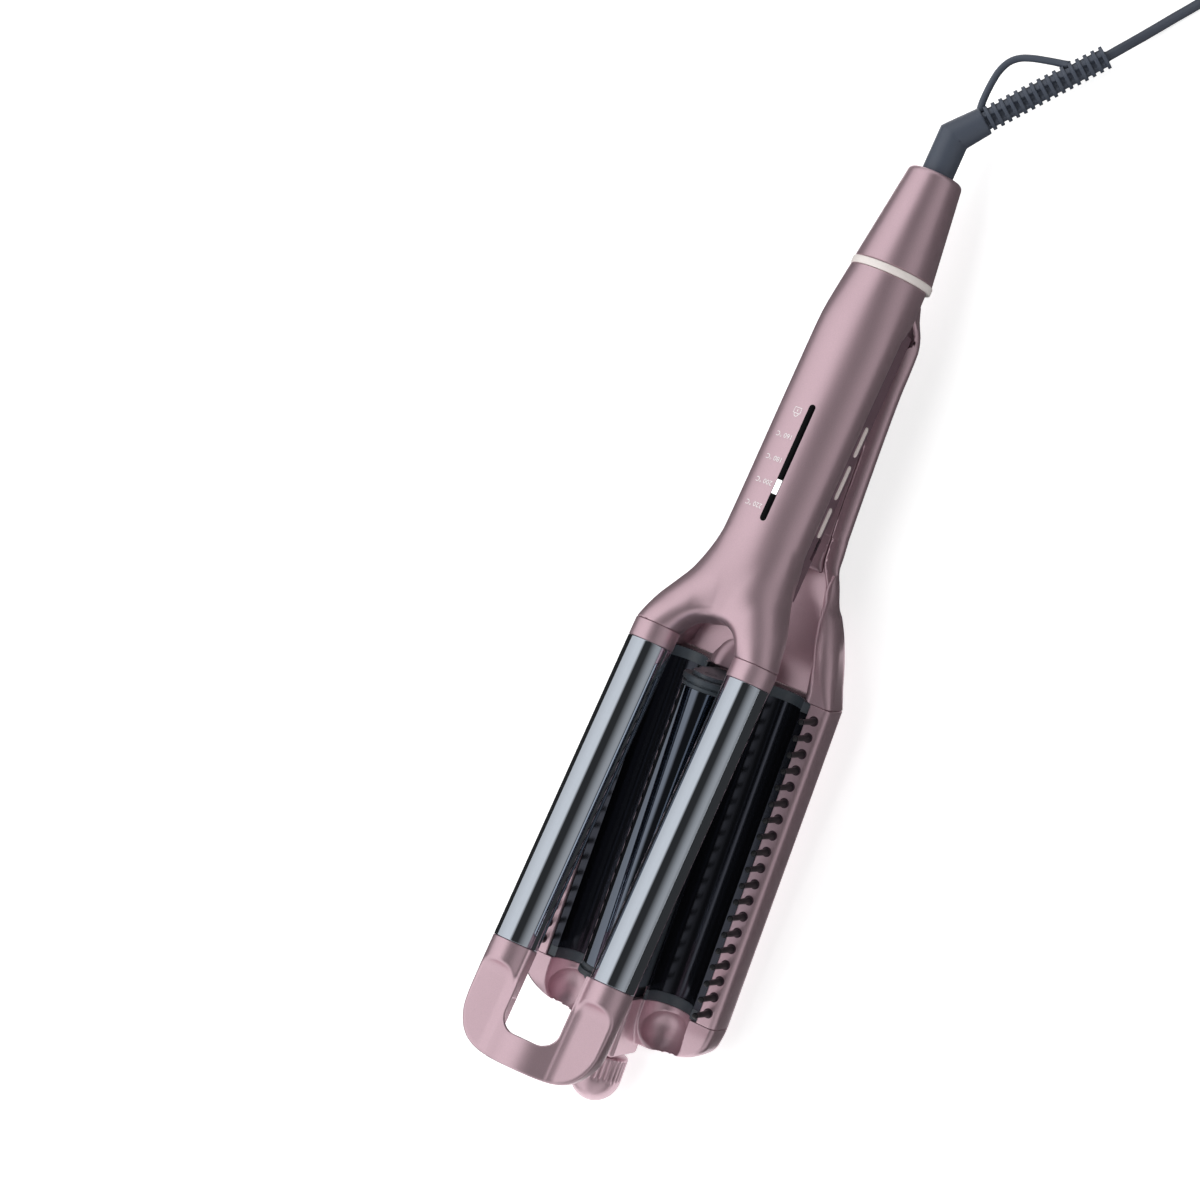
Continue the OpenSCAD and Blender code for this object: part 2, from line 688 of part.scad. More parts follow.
lower_stations = concat([for (s = [0 : 5]) lower_back + 4 * s], [-118, -90, -66],
                        [for (s = [0 : 14]) -56 + 4 * s]);

module lower_form(inset = 0, lid = 0) {
    loft([for (x = lower_stations)
        let (w = curve(lower_half_w, x) - inset, cz = curve(lower_corner_z, x))
        section(x, w, curve(lower_top_z, x) + lid, curve(lower_low_z, x) + inset,
                lid > 0 ? [0.4, 0.4] : [min(rim_edge_r, 1.2 + (x + 60) * 0.03 + 1.2), min(rim_edge_r, 1.6)],
                [curve(lower_corner_y, x) - inset * 0.6, cz - inset * 0.6])]);
}

cover_inset = casing_wall + SEAT;
cover_half = lower_half - cover_inset - 0.8;
module lower_shell() {
    color(ROSE) place_lower() difference() {
        lower_form();
        intersection() {
            lower_form(casing_wall, 20);
            block([lower_back + casing_wall, 1], [-60, 60], [-60, 60]);
        }
        block([lower_back - 1, lower_back + 5], [-9, 9], [-29, -10]);
        block([-58, band_front + 1], [-band_half - CLEAR, band_half + CLEAR], [band_low - CLEAR, 10]);
        both_sides() fork_leg(CLEAR + 0.4, fork_seam + 6, fork_back - 6);
    }
}

groove_r = trough_r + 0.6;
ridge_top = 4;
cover_t = 2;
module inner_cover() {
    color(ROSE) place_lower() difference() {
        union() {
            block([lower_back + 18, -56 + EPS], [-cover_half, cover_half],
                  [lower_edge - 0.6 - cover_t, lower_edge - 0.6]);
            intersection() {
                lower_form(cover_inset + 0.5, -SEAT);
                block([-56, -0.4], [-60, 60], [-40, 0]);
            }
            block([web_x + CLEAR, -0.4], [-block_half, block_half], [-14, ridge_top]);
        }
        both_sides() fork_leg(CLEAR + 0.4, fork_seam + 6, fork_back - 6);
        both_sides() rod_x(-12, 20, groove_r, barrel_y, 0);
        intersection() {
            lower_form(cover_inset + cover_t + 3, -cover_t - 2);
            block([-52, -casing_wall - 6], [-20, 20], [-40, -24]);
        }
        block([-58, band_front + 1], [-band_half - CLEAR, band_half + CLEAR], [band_low - CLEAR, 10]);
        block([-58, -28.6], [-20.4, 20.4], [-17 - CLEAR, 10]);
        for (s = [0 : 2]) translate([screw_x[s], 0, -60]) cylinder(h = 80, r = screw_r + 0.2);
    }
}

screw_x = [hinge_x + 40, fork_back - 42, fork_back - 12];
screw_r = 1.5;
module cover_screws() {
    color(STEEL) place_lower() for (x = screw_x) {
        translate([x, 0, lower_edge - 0.6 - cover_t - 4]) cylinder(h = 5.4, r = screw_r);
        translate([x, 0, lower_edge - 0.5]) cylinder(h = 1.1, r1 = 2.8, r2 = 2.2);
    }
}

knuckle_half = 3.2;
module hinge_bracket() {
    color(STEEL) place_lower() difference() {
        union() {
            rod_y(-knuckle_half, 2 * knuckle_half, 4.6, hinge_x, hinge_z);
            along_y(-knuckle_half, 2 * knuckle_half) polygon([
                [hinge_x, hinge_z + 3], [hinge_x + 9, hinge_z - 1.4],
                [hinge_x + seat_back, hinge_z - seat_drop[0]], [hinge_x + seat_front, hinge_z - seat_drop[1]],
                [hinge_x + seat_front, lower_edge - 3],
                [hinge_x + 46, lower_edge - 3], [hinge_x + 46, lower_edge - 6],
                [hinge_x + 20, lower_edge - 6], [hinge_x + 12, hinge_z - 9], [hinge_x, hinge_z - 3]
            ]);
        }
        rod_y(-20, 40, pin_d / 2 + RUN, hinge_x, hinge_z);
        translate([screw_x[0], 0, -60]) cylinder(h = 60, r = screw_r + 0.2);
    }
}

// Outline of the base across the heated section
module base_outline(inset = 0) {
    w = base_half - inset;
    low = -base_depth + inset;
    lower_r = base_edge_r - inset;
    upper_r = max(0.5, rim_edge_r - inset);
    for (s = [-1, 1]) {
        translate([s * (w - lower_r), low + lower_r]) circle(r = lower_r);
        translate([s * (w - upper_r), -inset - upper_r]) circle(r = upper_r);
    }
    translate([-w + lower_r, low]) square([2 * (w - lower_r), lower_r]);
    translate([-w, low + lower_r]) square([2 * w, -inset - upper_r - low - lower_r]);
    translate([-w + upper_r, -inset - upper_r]) square([2 * (w - upper_r), upper_r]);
}

comb_bar_half = 1.9;
wall_in = carriage_half + CLEAR;
rib_x = [16, heat_len / 2 - 1, heat_len - 18];
module base_channel() {
    color(ROSE) place_lower() difference() {
        union() {
            along_x(0, heat_len) difference() {
                base_outline();
                base_outline(casing_wall);
                translate([-rim_inner, -8]) square([2 * rim_inner, 10]);
            }
            both_sides() for (x = rib_x) along_x(x, 2) difference() {
                translate([wall_in + trough_t, floor_z - EPS])
                    square([comb_y - comb_bar_half - SEAT - wall_in - trough_t, -floor_z - 3]);
                translate([barrel_y, 0]) circle(r = trough_outer + SEAT);
                translate([barrel_y - 6, -14 - SEAT]) square([12, 14]);
            }
        }
        both_sides() for (s = [0 : bristle_count - 1])
            translate([bristle_start + bristle_pitch * s, comb_y, -8])
                cylinder(h = 10, r = bristle_d / 2 + 0.2, $fn = 24);
    }
}

strip_z = -1.2;
// Trough profile for the right side, with the given inside radius
module trough_profile(r) {
    difference() {
        union() {
            intersection() {
                translate([barrel_y, 0]) circle(r = trough_outer);
                translate([barrel_y - 20, -20]) square([40, 20 + strip_z]);
            }
            translate([barrel_y, strip_z - trough_t]) square([rim_inner - 0.2 - barrel_y, trough_t]);
            translate([wall_in, -13]) square([trough_t, 13 + wall_top]);
            translate([wall_in, strip_z - trough_t]) square([barrel_y - wall_in, trough_t]);
        }
        translate([barrel_y, 0]) circle(r = r);
    }
}

module trough_plate() {
    place_lower() along_x(bezel_len + 0.1, heat_len - 2 * bezel_len - 0.2) trough_profile(trough_r);
}

module trough_right() color(DARK) trough_plate();
module trough_left() color(DARK) mirror([0, 1, 0]) trough_plate();
bezel_r = trough_r - 0.25;
module bezel_pair(x) {
    color(GREY) place_lower() both_sides() along_x(x, bezel_len - 0.1) trough_profile(bezel_r);
}

module rear_bezels() bezel_pair(0.1);
module front_bezels() bezel_pair(heat_len - bezel_len);

comb_bar_z = -casing_wall - SEAT;
module bristle_comb() {
    place_lower() {
        block([bristle_start - 2.6, bristle_start + bristle_pitch * (bristle_count - 1) + 2.6],
              [comb_y - comb_bar_half, comb_y + comb_bar_half], [comb_bar_z - 1.8, comb_bar_z]);
        for (s = [0 : bristle_count - 1])
            translate([bristle_start + bristle_pitch * s, comb_y, comb_bar_z - EPS]) {
                cylinder(h = bristle_h - 1 - comb_bar_z, r1 = bristle_d / 2, r2 = 1, $fn = 24);
                translate([0, 0, bristle_h - 1 - comb_bar_z]) sphere(r = 1, $fn = 24);
            }
    }
}

module comb_right() color(DARK) bristle_comb();
module comb_left() color(DARK) mirror([0, 1, 0]) bristle_comb();

module trough_heaters() {
    top = -trough_outer - SEAT;
    color("ivory") place_lower() both_sides() for (s = [0, 1])
        block([rib_x[s] + 4, rib_x[s + 1] - 2], [barrel_y - 5.5, barrel_y + 5.5], [top - 3, top]);
}

cap_end = heat_len + cap_len;
cap_half = [[heat_len, base_half], [heat_len + 5, base_half - 0.5], [cap_end - 10.3, base_half - 1.7],
            [cap_end - 6.4, base_half - 5.4], [cap_end - 3.9, base_half - 9.7],
            [cap_end - 2.1, base_half - 15.1], [cap_end, base_half - 25.7]];
cap_low = [[heat_len, -base_depth], [heat_len + 6, -base_depth], [cap_end - 9.7, -base_depth + 0.6],
           [cap_end - 5.7, -base_depth + 3.2], [cap_end, -base_depth + 8]];
cap_stations = [for (s = [0 : 10]) heat_len + cap_len * (1 - pow(1 - s / 10, 1.6))];
module cap_form(inset = 0, x_cut = 0) {
    loft([for (x = cap_stations)
        let (low = curve(cap_low, x) + inset, w = curve(cap_half, x) - inset)
        section(x - x_cut, w, -inset, low, [max(0.5, rim_edge_r - inset), max(0.5, rim_edge_r - inset)],
                [base_edge_r - inset, min(base_edge_r - inset, -low - inset - 3)])]);
}

slot_half = block_half - 2;
scoop_floor = -10.9;
scoop_half = trough_r - 0.4;
module tip_cap() {
    x0 = heat_len;
    bearing = x0 + block_len - 7;
    color(ROSE) place_lower() difference() {
        union() {
            cap_form();
            block([x0, x0 + block_len], [-block_half, block_half], [-base_depth + 6, block_top]);
        }
        both_sides() intersection() {
            cap_form(casing_wall, casing_wall + 1);
            block([x0 - 20, x0 + cap_len], [block_half + 0.6, base_half], [-40, scoop_floor - casing_wall]);
        }
        both_sides() rod_x(x0 - 1, 40, trough_r + arch_gap, barrel_y, 0);
        both_sides() {
            translate([x0 + 15, barrel_y, scoop_floor]) cylinder(h = 30, r = scoop_half);
            block([x0 + 15, x0 + 40], [barrel_y - scoop_half, barrel_y + scoop_half], [scoop_floor, 20]);
        }
        block([x0 - 1, bearing], [-slot_half, slot_half], [floor_z, block_top - 1.6]);
        rod_x(bearing - 1, 20, shaft_r + RUN, 0, knob_z);
    }
}

rod_xs = [24, heat_len - 26];
rod_r = 1.5;
module guide_rods() {
    color(STEEL) place_lower() for (x = rod_xs)
        translate([x, 0, floor_z]) cylinder(h = 1.5 - floor_z, r = rod_r);
}

// ---- centre barrel and its lift ----
tube_back = 7;
tube_front = heat_len - 10.3;
module centre_barrel() {
    color(DARK) place_lower() difference() {
        rod_x(tube_back, tube_front - tube_back, centre_r, 0, centre_z);
        rod_x(tube_back - 1, heat_len, centre_r - tube_wall, 0, centre_z);
    }
}

// Stepped end cap with a stud, opening towards +X
module stepped_cap() {
    rod_x(0, 2.2, centre_r + 0.6);
    rod_x(2, 1, centre_r - 0.6);
    rod_x(3 - EPS, 1.5, centre_r + 0.1);
    rod_x(4.4, 5, centre_r - tube_wall - RUN);
    rod_x(-1.7, 2, 2.5);
}

module centre_caps() {
    color(GREY) place_lower() {
        translate([tube_back - 4.5, 0, centre_z]) stepped_cap();
        translate([tube_front + 4.5, 0, centre_z]) mirror([1, 0, 0]) stepped_cap();
    }
}

module centre_heater() {
    color("ivory") place_lower() {
        rod_x(tube_back + 12, tube_front - tube_back - 24, centre_r - tube_wall - SEAT, 0, centre_z);
    }
}

yoke_t = 1.5;
slot_gap = 1.2;              // gap on each side of the carriage in the middle block's slot
yoke_half = slot_half - slot_gap;
module yoke(x) {
    difference() {
        union() {
            block([x, x + yoke_t], [-yoke_half, yoke_half], [carriage_top - 10, centre_z]);
            rod_x(x, yoke_t, yoke_half, 0, centre_z);
        }
        rod_x(x - 1, 4, 2.5 + RUN, 0, centre_z);
    }
}

rack_x = [heat_len + 9, heat_len + 16];
rack_back = pinion_r + 0.85;
module lift_carriage() {
    rear = tube_back - 4.5 - 0.2 - yoke_t;
    front = tube_front + 4.5 + 0.2;
    low = carriage_top - 10.8;
    arm_low = knob_z - 1.6;
    arm_high = knob_z + lift + 1.6;
    color(GREY) place_lower() difference() {
        union() {
            length = [rear + 1, front + 0.5];
            block(length, [-carriage_half, carriage_half], [carriage_top - 1.6, carriage_top]);
            both_sides() block(length, [carriage_half - 1.8, carriage_half], [low, carriage_top]);
            yoke(rear);
            yoke(front);
            block([front + EPS, rack_x[1]], [rack_back, slot_half - slot_gap], [arm_low, arm_high]);
            for (s = [0 : 5]) rack_tooth(knob_z + tooth_gap * (s - 0.5));
            for (x = rod_xs) translate([x, 0, low]) cylinder(h = 10, r = rod_r + 1.6);
        }
        for (x = rod_xs) translate([x, 0, low - 1]) cylinder(h = 20, r = rod_r + RUN);
    }
}

module rack_tooth(z) {
    along_x(rack_x[0], rack_x[1] - rack_x[0]) polygon([
        [rack_back + 0.1, z - 0.72], [pinion_r, z - 0.46], [pinion_r - 0.62, z - 0.26],
        [pinion_r - 0.62, z + 0.26], [pinion_r, z + 0.46], [rack_back + 0.1, z + 0.72]
    ]);
}

shaft_r = 2;
module knob_shaft() {
    color(STEEL) place_lower() translate([0, 0, knob_z]) {
        rod_x(rack_x[0] - 1, 1, shaft_r);
        along_x(rack_x[0], rack_x[1] - rack_x[0]) pinion_outline();
        rod_x(rack_x[1], knob_x + 10 - rack_x[1], shaft_r);
    }
}

module pinion_outline() {
    root_r = pinion_r - 0.8;
    circle(r = root_r);
    for (s = [0 : pinion_teeth - 1]) rotate(360 / pinion_teeth * s) polygon([
        [1, -0.6], [root_r, -0.6], [pinion_r, -0.46], [pinion_r + 0.62, -0.22],
        [pinion_r + 0.62, 0.22], [pinion_r, 0.46], [root_r, 0.6], [1, 0.6]
    ]);
}

flutes = 30;
module adjust_knob() {
    r = knob_d / 2;
    skirt = 9.6;
    dome = knob_len - skirt;
    color(ROSE) place_lower() translate([knob_x, 0, knob_z]) difference() {
        rotate([0, 90, 0]) rotate_extrude($fn = 72) polygon(concat(
            [[0, 0], [r - 0.6, 0], [r, 0.6], [r, skirt]],
            [for (a = [8 : 8 : 88]) [r * cos(a), skirt + dome * sin(a)]],
            [[0, skirt + dome]]));
        for (s = [0 : flutes - 1]) rotate([360 / flutes * s, 0, 0]) rod_x(1.2, skirt - 0.8, 0.55, r + 0.1, 0);
        rod_x(-1, 11.3, shaft_r + EPS);
    }
}

// ---- cord and plug, on the table ----
cord_d = 4;
coil_in = 22.5;
coil_out = 35.5;
cord_points = [[-243, 42, 9.3], [-247.1, 45.1, 8], [-251.2, 48, 6.2], [-255.4, 51, 4.5], [-260.1, 54.5, 3.2],
               [-265.9, 59.1, 2.4], [-273.4, 65.5, 2.1], [-283.4, 73.6, 2.1], [-293.8, 81.7, 2.3],
               [-304.3, 89.4, 2.8]];
coil_mid = [-326, 61.4];
coil_lift = 0.8;
coil_layers = 4;
tail_points = [[-326, 96.9, 14.8], [-339, 97.6, 13.8], [-352, 95.6, 11.9], [-364, 90.8, 9.8],
               [-374, 83.4, 8.2], [-381, 74, 7.3], [-384, 64, 7]];

module power_cord() color(GREY) tube_along(cord_points, cord_d / 2, 10);
module cord_tail() color(GREY) tube_along(tail_points, cord_d / 2, 10);

module cord_coil() {
    inner = coil_in - cord_d / 2;
    outer = coil_out + cord_d / 2;
    height = coil_layers * cord_d;
    color(GREY) translate([coil_mid[0], coil_mid[1], coil_lift]) rotate_extrude($fn = 72) polygon([
        [inner, 1.4], [inner + 1.4, 0], [outer - 1.4, 0], [outer, 1.4],
        [outer, height - 1.4], [outer - 1.4, height], [inner + 1.4, height], [inner, height - 1.4]
    ]);
}

plug_pin_len = 19;
tie_w = 6;
module cord_tie() {
    inner = coil_in - cord_d / 2 - 1;
    outer = coil_out + cord_d / 2 + 0.7;
    height = coil_layers * cord_d;
    color(DARK) translate([coil_mid[0], coil_mid[1], 0]) rotate([0, 0, 215]) difference() {
        block([inner, outer], [-tie_w / 2, tie_w / 2], [0, height + 2 * coil_lift - 0.1]);
        block([inner + 0.65, outer - 0.65], [-tie_w, tie_w], [coil_lift - 0.02, height + coil_lift + 0.02]);
    }
}

plug_at = [-384, 64, 7];
plug_grip = 12;
plug_body_len = 36;
plug_body_w = 35.3;
plug_body_h = 13.6;
module plug_body() {
    color(GREY) translate(plug_at) rotate([0, 0, -90]) {
        difference() {
            rotate([0, 90, 0]) cylinder(h = plug_grip + 2, r1 = cord_d / 2 + 0.9, r2 = 5);
            rod_x(-1, 4, cord_d / 2 + 0.1);
        }
        translate([plug_grip, 0, -plug_body_h / 2]) linear_extrude(plug_body_h) polygon([
            [0, -8], [8, -12.5], [22, -plug_body_w / 2], [plug_body_len, -plug_body_w / 2],
            [plug_body_len, plug_body_w / 2], [22, plug_body_w / 2], [8, 12.5], [0, 8]
        ]);
    }
}

module plug_pins() {
    color(STEEL) translate(plug_at) rotate([0, 0, -90]) both_sides()
        rod_x(plug_grip + plug_body_len, plug_pin_len, plug_pin_d / 2, plug_pitch / 2);
}

upper_shell();
inner_frame();
led_window();
led_light();
display_board();
main_board();
button_board();
power_button();
minus_button();
plus_button();
lock_slider();
barrel_collars();
upper_barrel_left();
upper_barrel_right();
barrel_heater_left();
barrel_heater_right();
tip_bridge();
rear_cone();
trim_ring();
hinge_block();
hinge_pin();
arm_spring();
swivel_elbow();
strain_relief();
hanging_loop();
lower_shell();
inner_cover();
hinge_bracket();
base_channel();
trough_left();
trough_right();
rear_bezels();
front_bezels();
comb_left();
comb_right();
trough_heaters();
tip_cap();
guide_rods();
cover_screws();
centre_barrel();
centre_caps();
centre_heater();
lift_carriage();
adjust_knob();
knob_shaft();
power_cord();
cord_coil();
cord_tail();
cord_tie();
plug_body();
plug_pins();
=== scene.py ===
"""Looks of the hair waver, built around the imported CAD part.

Shapes are worked out in millimetres in the frames of the two arms, then placed in metres.
"""

import itertools
import json
import math

import bpy
import numpy as np
from mathutils import Matrix, Vector


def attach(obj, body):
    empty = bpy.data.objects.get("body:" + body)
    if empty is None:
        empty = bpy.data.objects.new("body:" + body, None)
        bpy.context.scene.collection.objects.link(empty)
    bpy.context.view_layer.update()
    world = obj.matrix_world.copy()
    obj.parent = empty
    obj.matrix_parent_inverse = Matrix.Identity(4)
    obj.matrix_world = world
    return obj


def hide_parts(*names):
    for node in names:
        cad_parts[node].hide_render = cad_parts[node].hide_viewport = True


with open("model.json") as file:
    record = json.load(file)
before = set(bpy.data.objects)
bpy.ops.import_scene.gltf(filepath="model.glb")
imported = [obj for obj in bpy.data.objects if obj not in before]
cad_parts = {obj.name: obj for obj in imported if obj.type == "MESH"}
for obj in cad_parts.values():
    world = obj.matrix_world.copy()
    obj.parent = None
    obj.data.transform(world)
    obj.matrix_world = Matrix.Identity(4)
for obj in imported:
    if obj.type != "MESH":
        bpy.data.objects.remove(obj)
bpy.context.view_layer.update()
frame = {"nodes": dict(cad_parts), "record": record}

# ---------------- driving sizes, in millimetres
LEAN = math.radians(4.7)
OPEN_ANGLE = math.radians(12.5)
FLOOR_DROP = 31.78
CENTRE_SHIFT = 28.27
HINGE_X, HINGE_Z = -168.0, -17.5
HEAT_LEN = 132.3
BARREL_R, BARREL_Y, BARREL_Z = 9.0, 21.4, 0.6
BARREL_END = HEAT_LEN - 3.6
TUBE_WALL = 1.4
BEZEL_LEN = 4.2
FORK_SEAM = -3.2
FORK_BACK = -50.0
HANDLE_BACK = -161.0
RING_R, RING_LEN = 16.6, 3.2
CONE_X = HANDLE_BACK - RING_LEN
CONE_END_X = CONE_X - 40.8
CROWN_Z = 2.0
TROUGH_R = 9.6
RIM_INNER, BASE_HALF, BASE_DEPTH = 34.1, 42.7, 20.5
COMB_Y = 37.7
BRISTLE_COUNT, BRISTLE_PITCH, BRISTLE_START, BRISTLE_H = 19, 6.74, 5.6, 14.0
CENTRE_R, CENTRE_Z = 9.6, 21.5
TUBE_BACK, TUBE_FRONT = 7.0, HEAT_LEN - 10.3
KNOB_X, KNOB_Z, KNOB_R, KNOB_LEN = HEAT_LEN + 27.0, -6.5, 10.2, 20.4
BLOCK_HALF, BLOCK_TOP, BLOCK_LEN = 10.2, 9.5, 24.7
BAND_HALF = 15.5
BUTTON_Z = -19.4
CORD_D = 4.0


def lower_matrix():
    """Lower arm's frame: the rims' top is z = 0 and the rear seam of the base is x = 0."""
    return Matrix.Translation((CENTRE_SHIFT, 0, FLOOR_DROP)) @ Matrix.Rotation(LEAN, 4, "Y")


def upper_matrix():
    """Upper arm's frame: the closed place, turned open about the hinge."""
    hinge = Matrix.Translation((HINGE_X, 0, HINGE_Z))
    return lower_matrix() @ hinge @ Matrix.Rotation(-OPEN_ANGLE, 4, "Y") @ hinge.inverted()


MM = Matrix.Scale(0.001, 4)
LOWER = MM @ lower_matrix()
UPPER = MM @ upper_matrix()

BEND_BACK = 16.3
RELIEF_TURN = math.radians(-39.6)
RELIEF_DIP = math.radians(-4.1)
BEND = (
    Matrix.Translation((CONE_END_X - BEND_BACK, 0, HINGE_Z))
    @ Matrix.Rotation(RELIEF_TURN, 4, "Z")
    @ Matrix.Rotation(RELIEF_DIP, 4, "Y")
    @ Matrix.Rotation(math.pi, 4, "Z")
)
ELBOW = UPPER @ BEND


def put(name, data):
    """New object of the scene that holds the data."""
    made = bpy.data.objects.new(name, data)
    bpy.context.scene.collection.objects.link(made)
    return made


# ---------------- camera
CAMERA_AT = (-0.1207, 0.6788, 1.82807)
CAMERA_AIM = (0.02126, -0.05374, 0.0534)
CAMERA_ROLL = math.radians(-78.85)
CAMERA_LENS = 150.0


def add_camera():
    """Camera of the main view, high above the side with the buttons."""
    data = bpy.data.cameras.new("camera")
    data.lens = CAMERA_LENS
    data.sensor_width = 36.0
    data.clip_end = 10
    camera = put("camera", data)
    look = (Vector(CAMERA_AIM) - Vector(CAMERA_AT)).to_track_quat("-Z", "Y")
    place = Matrix.Translation(CAMERA_AT) @ look.to_matrix().to_4x4()
    camera.matrix_world = place @ Matrix.Rotation(CAMERA_ROLL, 4, "Z")
    bpy.context.scene.camera = camera


# ---------------- materials
def rgb(red, green, blue):
    """Linear colour of an sRGB colour given in steps of 255."""
    values = [c / 255 for c in (red, green, blue)]
    return [c / 12.92 if c < 0.04045 else ((c + 0.055) / 1.055) ** 2.4 for c in values] + [1]


def material(name, colour, metallic=0.0, roughness=0.5, coat=0.0, grain=900.0, vary=0.06, bump=0.02):
    """Plastic, paint or metal with a fine grain in its colour, gloss and surface."""
    made = bpy.data.materials.new(name)
    made.use_nodes = True
    nodes, links = made.node_tree.nodes, made.node_tree.links
    shader = nodes["Principled BSDF"]
    shader.inputs["Metallic"].default_value = metallic
    shader.inputs["Coat Weight"].default_value = coat
    shader.inputs["Coat Roughness"].default_value = 0.12
    place = nodes.new("ShaderNodeTexCoord")
    fine = nodes.new("ShaderNodeTexNoise")
    fine.inputs["Scale"].default_value = grain
    fine.inputs["Detail"].default_value = 3
    broad = nodes.new("ShaderNodeTexNoise")
    broad.inputs["Scale"].default_value = grain / 40
    for noise in (fine, broad):
        links.new(place.outputs["Object"], noise.inputs["Vector"])
    tint = nodes.new("ShaderNodeMix")
    tint.data_type = "RGBA"
    tint.inputs["A"].default_value = [c * (1 - vary) for c in colour[:3]] + [1]
    tint.inputs["B"].default_value = [min(1, c * (1 + vary)) for c in colour[:3]] + [1]
    links.new(fine.outputs["Fac"], tint.inputs["Factor"])
    links.new(tint.outputs["Result"], shader.inputs["Base Color"])
    gloss = nodes.new("ShaderNodeMapRange")
    gloss.inputs["To Min"].default_value = roughness * 0.88
    gloss.inputs["To Max"].default_value = roughness * 1.12
    links.new(broad.outputs["Fac"], gloss.inputs["Value"])
    links.new(gloss.outputs["Result"], shader.inputs["Roughness"])
    if bump:
        rough = nodes.new("ShaderNodeBump")
        rough.inputs["Strength"].default_value = bump
        rough.inputs["Distance"].default_value = 0.0002
        links.new(fine.outputs["Fac"], rough.inputs["Height"])
        links.new(rough.outputs["Normal"], shader.inputs["Normal"])
    return made


def lamp_material(name, colour, strength):
    """Material that glows in its own colour."""
    made = material(name, colour, roughness=0.3)
    shader = made.node_tree.nodes["Principled BSDF"]
    shader.inputs["Emission Color"].default_value = colour
    shader.inputs["Emission Strength"].default_value = strength
    return made


ROSE = material("rose_pearl", rgb(212, 182, 192), metallic=0.8, roughness=0.38, coat=0.15, grain=2400, vary=0.1)
# Darker copy of the rose paint for the inner cover: painted shade for the shade under the upper arm.
ROSE_COVER_SHADE = material("rose_cover_painted_shade", rgb(186, 158, 168), metallic=0.75, roughness=0.38, grain=2400, vary=0.1)
# Darker copy of the rose paint for the inner frame: painted shade for the strip beside the buttons, which lies
# in shade.
ROSE_FRAME_SHADE = material("rose_inside_painted_shade", rgb(132, 104, 116), metallic=0.45, roughness=0.42, grain=2400, vary=0.08)
TRIM = material("trim_ring", rgb(238, 230, 226), roughness=0.32, coat=0.3)
BUTTON = material("button_champagne", rgb(238, 224, 222), metallic=0.1, roughness=0.4)
LOCK = material("lock_slider", rgb(66, 52, 60), metallic=0.3, roughness=0.42)
WINDOW = material("smoked_window", rgb(8, 8, 10), roughness=0.3, bump=0)
WINDOW.node_tree.nodes["Principled BSDF"].inputs["Specular IOR Level"].default_value = 0.06
LED = lamp_material("lit_segment", rgb(255, 255, 255), 1.0)
BARREL = material(
    "tourmaline_mirror", rgb(190, 197, 207), metallic=1.0, roughness=0.045, grain=500, vary=0.02, bump=0,
)
# Darker copy of the barrels' mirror: painted shade for the centre barrel, which sits below and between the
# upper barrels.
CENTRE_SHADED_MIRROR = material("centre_mirror_painted_shade", rgb(104, 111, 123), metallic=1.0, roughness=0.08, grain=500, vary=0.03)
TROUGH = material(
    "tourmaline_dark", rgb(58, 60, 68), metallic=0.9, roughness=0.14, grain=500, vary=0.04, bump=0,
)
BEZEL = material("grey_plastic", rgb(62, 69, 76), roughness=0.42, grain=1600, vary=0.08)
BRISTLE = material("bristle_black", rgb(22, 24, 27), roughness=0.38, grain=1600, vary=0.1)
# Dark plum discs at the bristle roots: painted shade that stands for the holes in the rim.
HOLE_SHADE = material("bristle_hole_shade", rgb(58, 40, 50), roughness=0.6)
CARRIAGE = material("carriage_grey", rgb(70, 76, 84), roughness=0.36, grain=1600, vary=0.08)
BOARD = material("circuit_board", rgb(20, 70, 40), roughness=0.45)
HEATER = material("ceramic", rgb(222, 216, 200), roughness=0.6)
STEEL = material("steel", rgb(170, 172, 176), metallic=1.0, roughness=0.28, grain=1200)
SLATE = material("slate_plastic", rgb(72, 79, 92), roughness=0.46, grain=1800, vary=0.08, bump=0.05)
RUBBER = material("slate_rubber", rgb(66, 72, 84), roughness=0.55, grain=1500, vary=0.1, bump=0.08)
PIN = material("nickel_pin", rgb(214, 210, 200), metallic=1.0, roughness=0.22)
PRINT = material("pale_print", rgb(250, 246, 247), roughness=0.6, bump=0)


# ---------------- fields and curves
def curve(keys, x):
    """Value at x of the smooth curve through the keys, held level beyond its ends."""
    k = np.array(keys, float)
    slopes = np.empty(len(k))
    last = len(k) - 1
    for i in range(len(k)):
        a, b = max(0, i - 1), min(last, i + 1)
        slopes[i] = (k[b, 1] - k[a, 1]) / (k[b, 0] - k[a, 0])
    i = np.clip(np.searchsorted(k[:, 0], x, side="right") - 1, 0, last - 1)
    h = k[i + 1, 0] - k[i, 0]
    t = np.clip((x - k[i, 0]) / h, 0, 1)
    return (
        k[i, 1] * (1 + 2 * t) * (1 - t) ** 2
        + k[i + 1, 1] * t * t * (3 - 2 * t)
        + slopes[i] * h * t * (1 - t) ** 2
        - slopes[i + 1] * h * t * t * (1 - t)
    )


def ellipse(y, z, a, b):
    """About the distance outside an ellipse with half axes a and b."""
    k0 = np.hypot(y / a, z / b)
    k1 = np.maximum(np.hypot(y / a**2, z / b**2), 1e-6)
    return np.where(k0 < 0.02, -np.minimum(a, b), k0 * (k0 - 1) / k1)


def join(a, b, k):
    """Union of two fields, blended over the width k."""
    h = np.clip(0.5 + 0.5 * (b - a) / k, 0, 1)
    return b + (a - b) * h - k * h * (1 - h)


def meet(a, b, r):
    """Intersection of two fields, with edges rounded to the radius r."""
    return np.minimum(np.maximum(a, b), -r) + np.hypot(np.maximum(a + r, 0), np.maximum(b + r, 0))


def cut(a, b, r):
    """Field a without field b."""
    return meet(a, -b, r)


def slab(x, low, high):
    """Distance outside the stretch from low to high."""
    return np.abs(x - (low + high) / 2) - (high - low) / 2


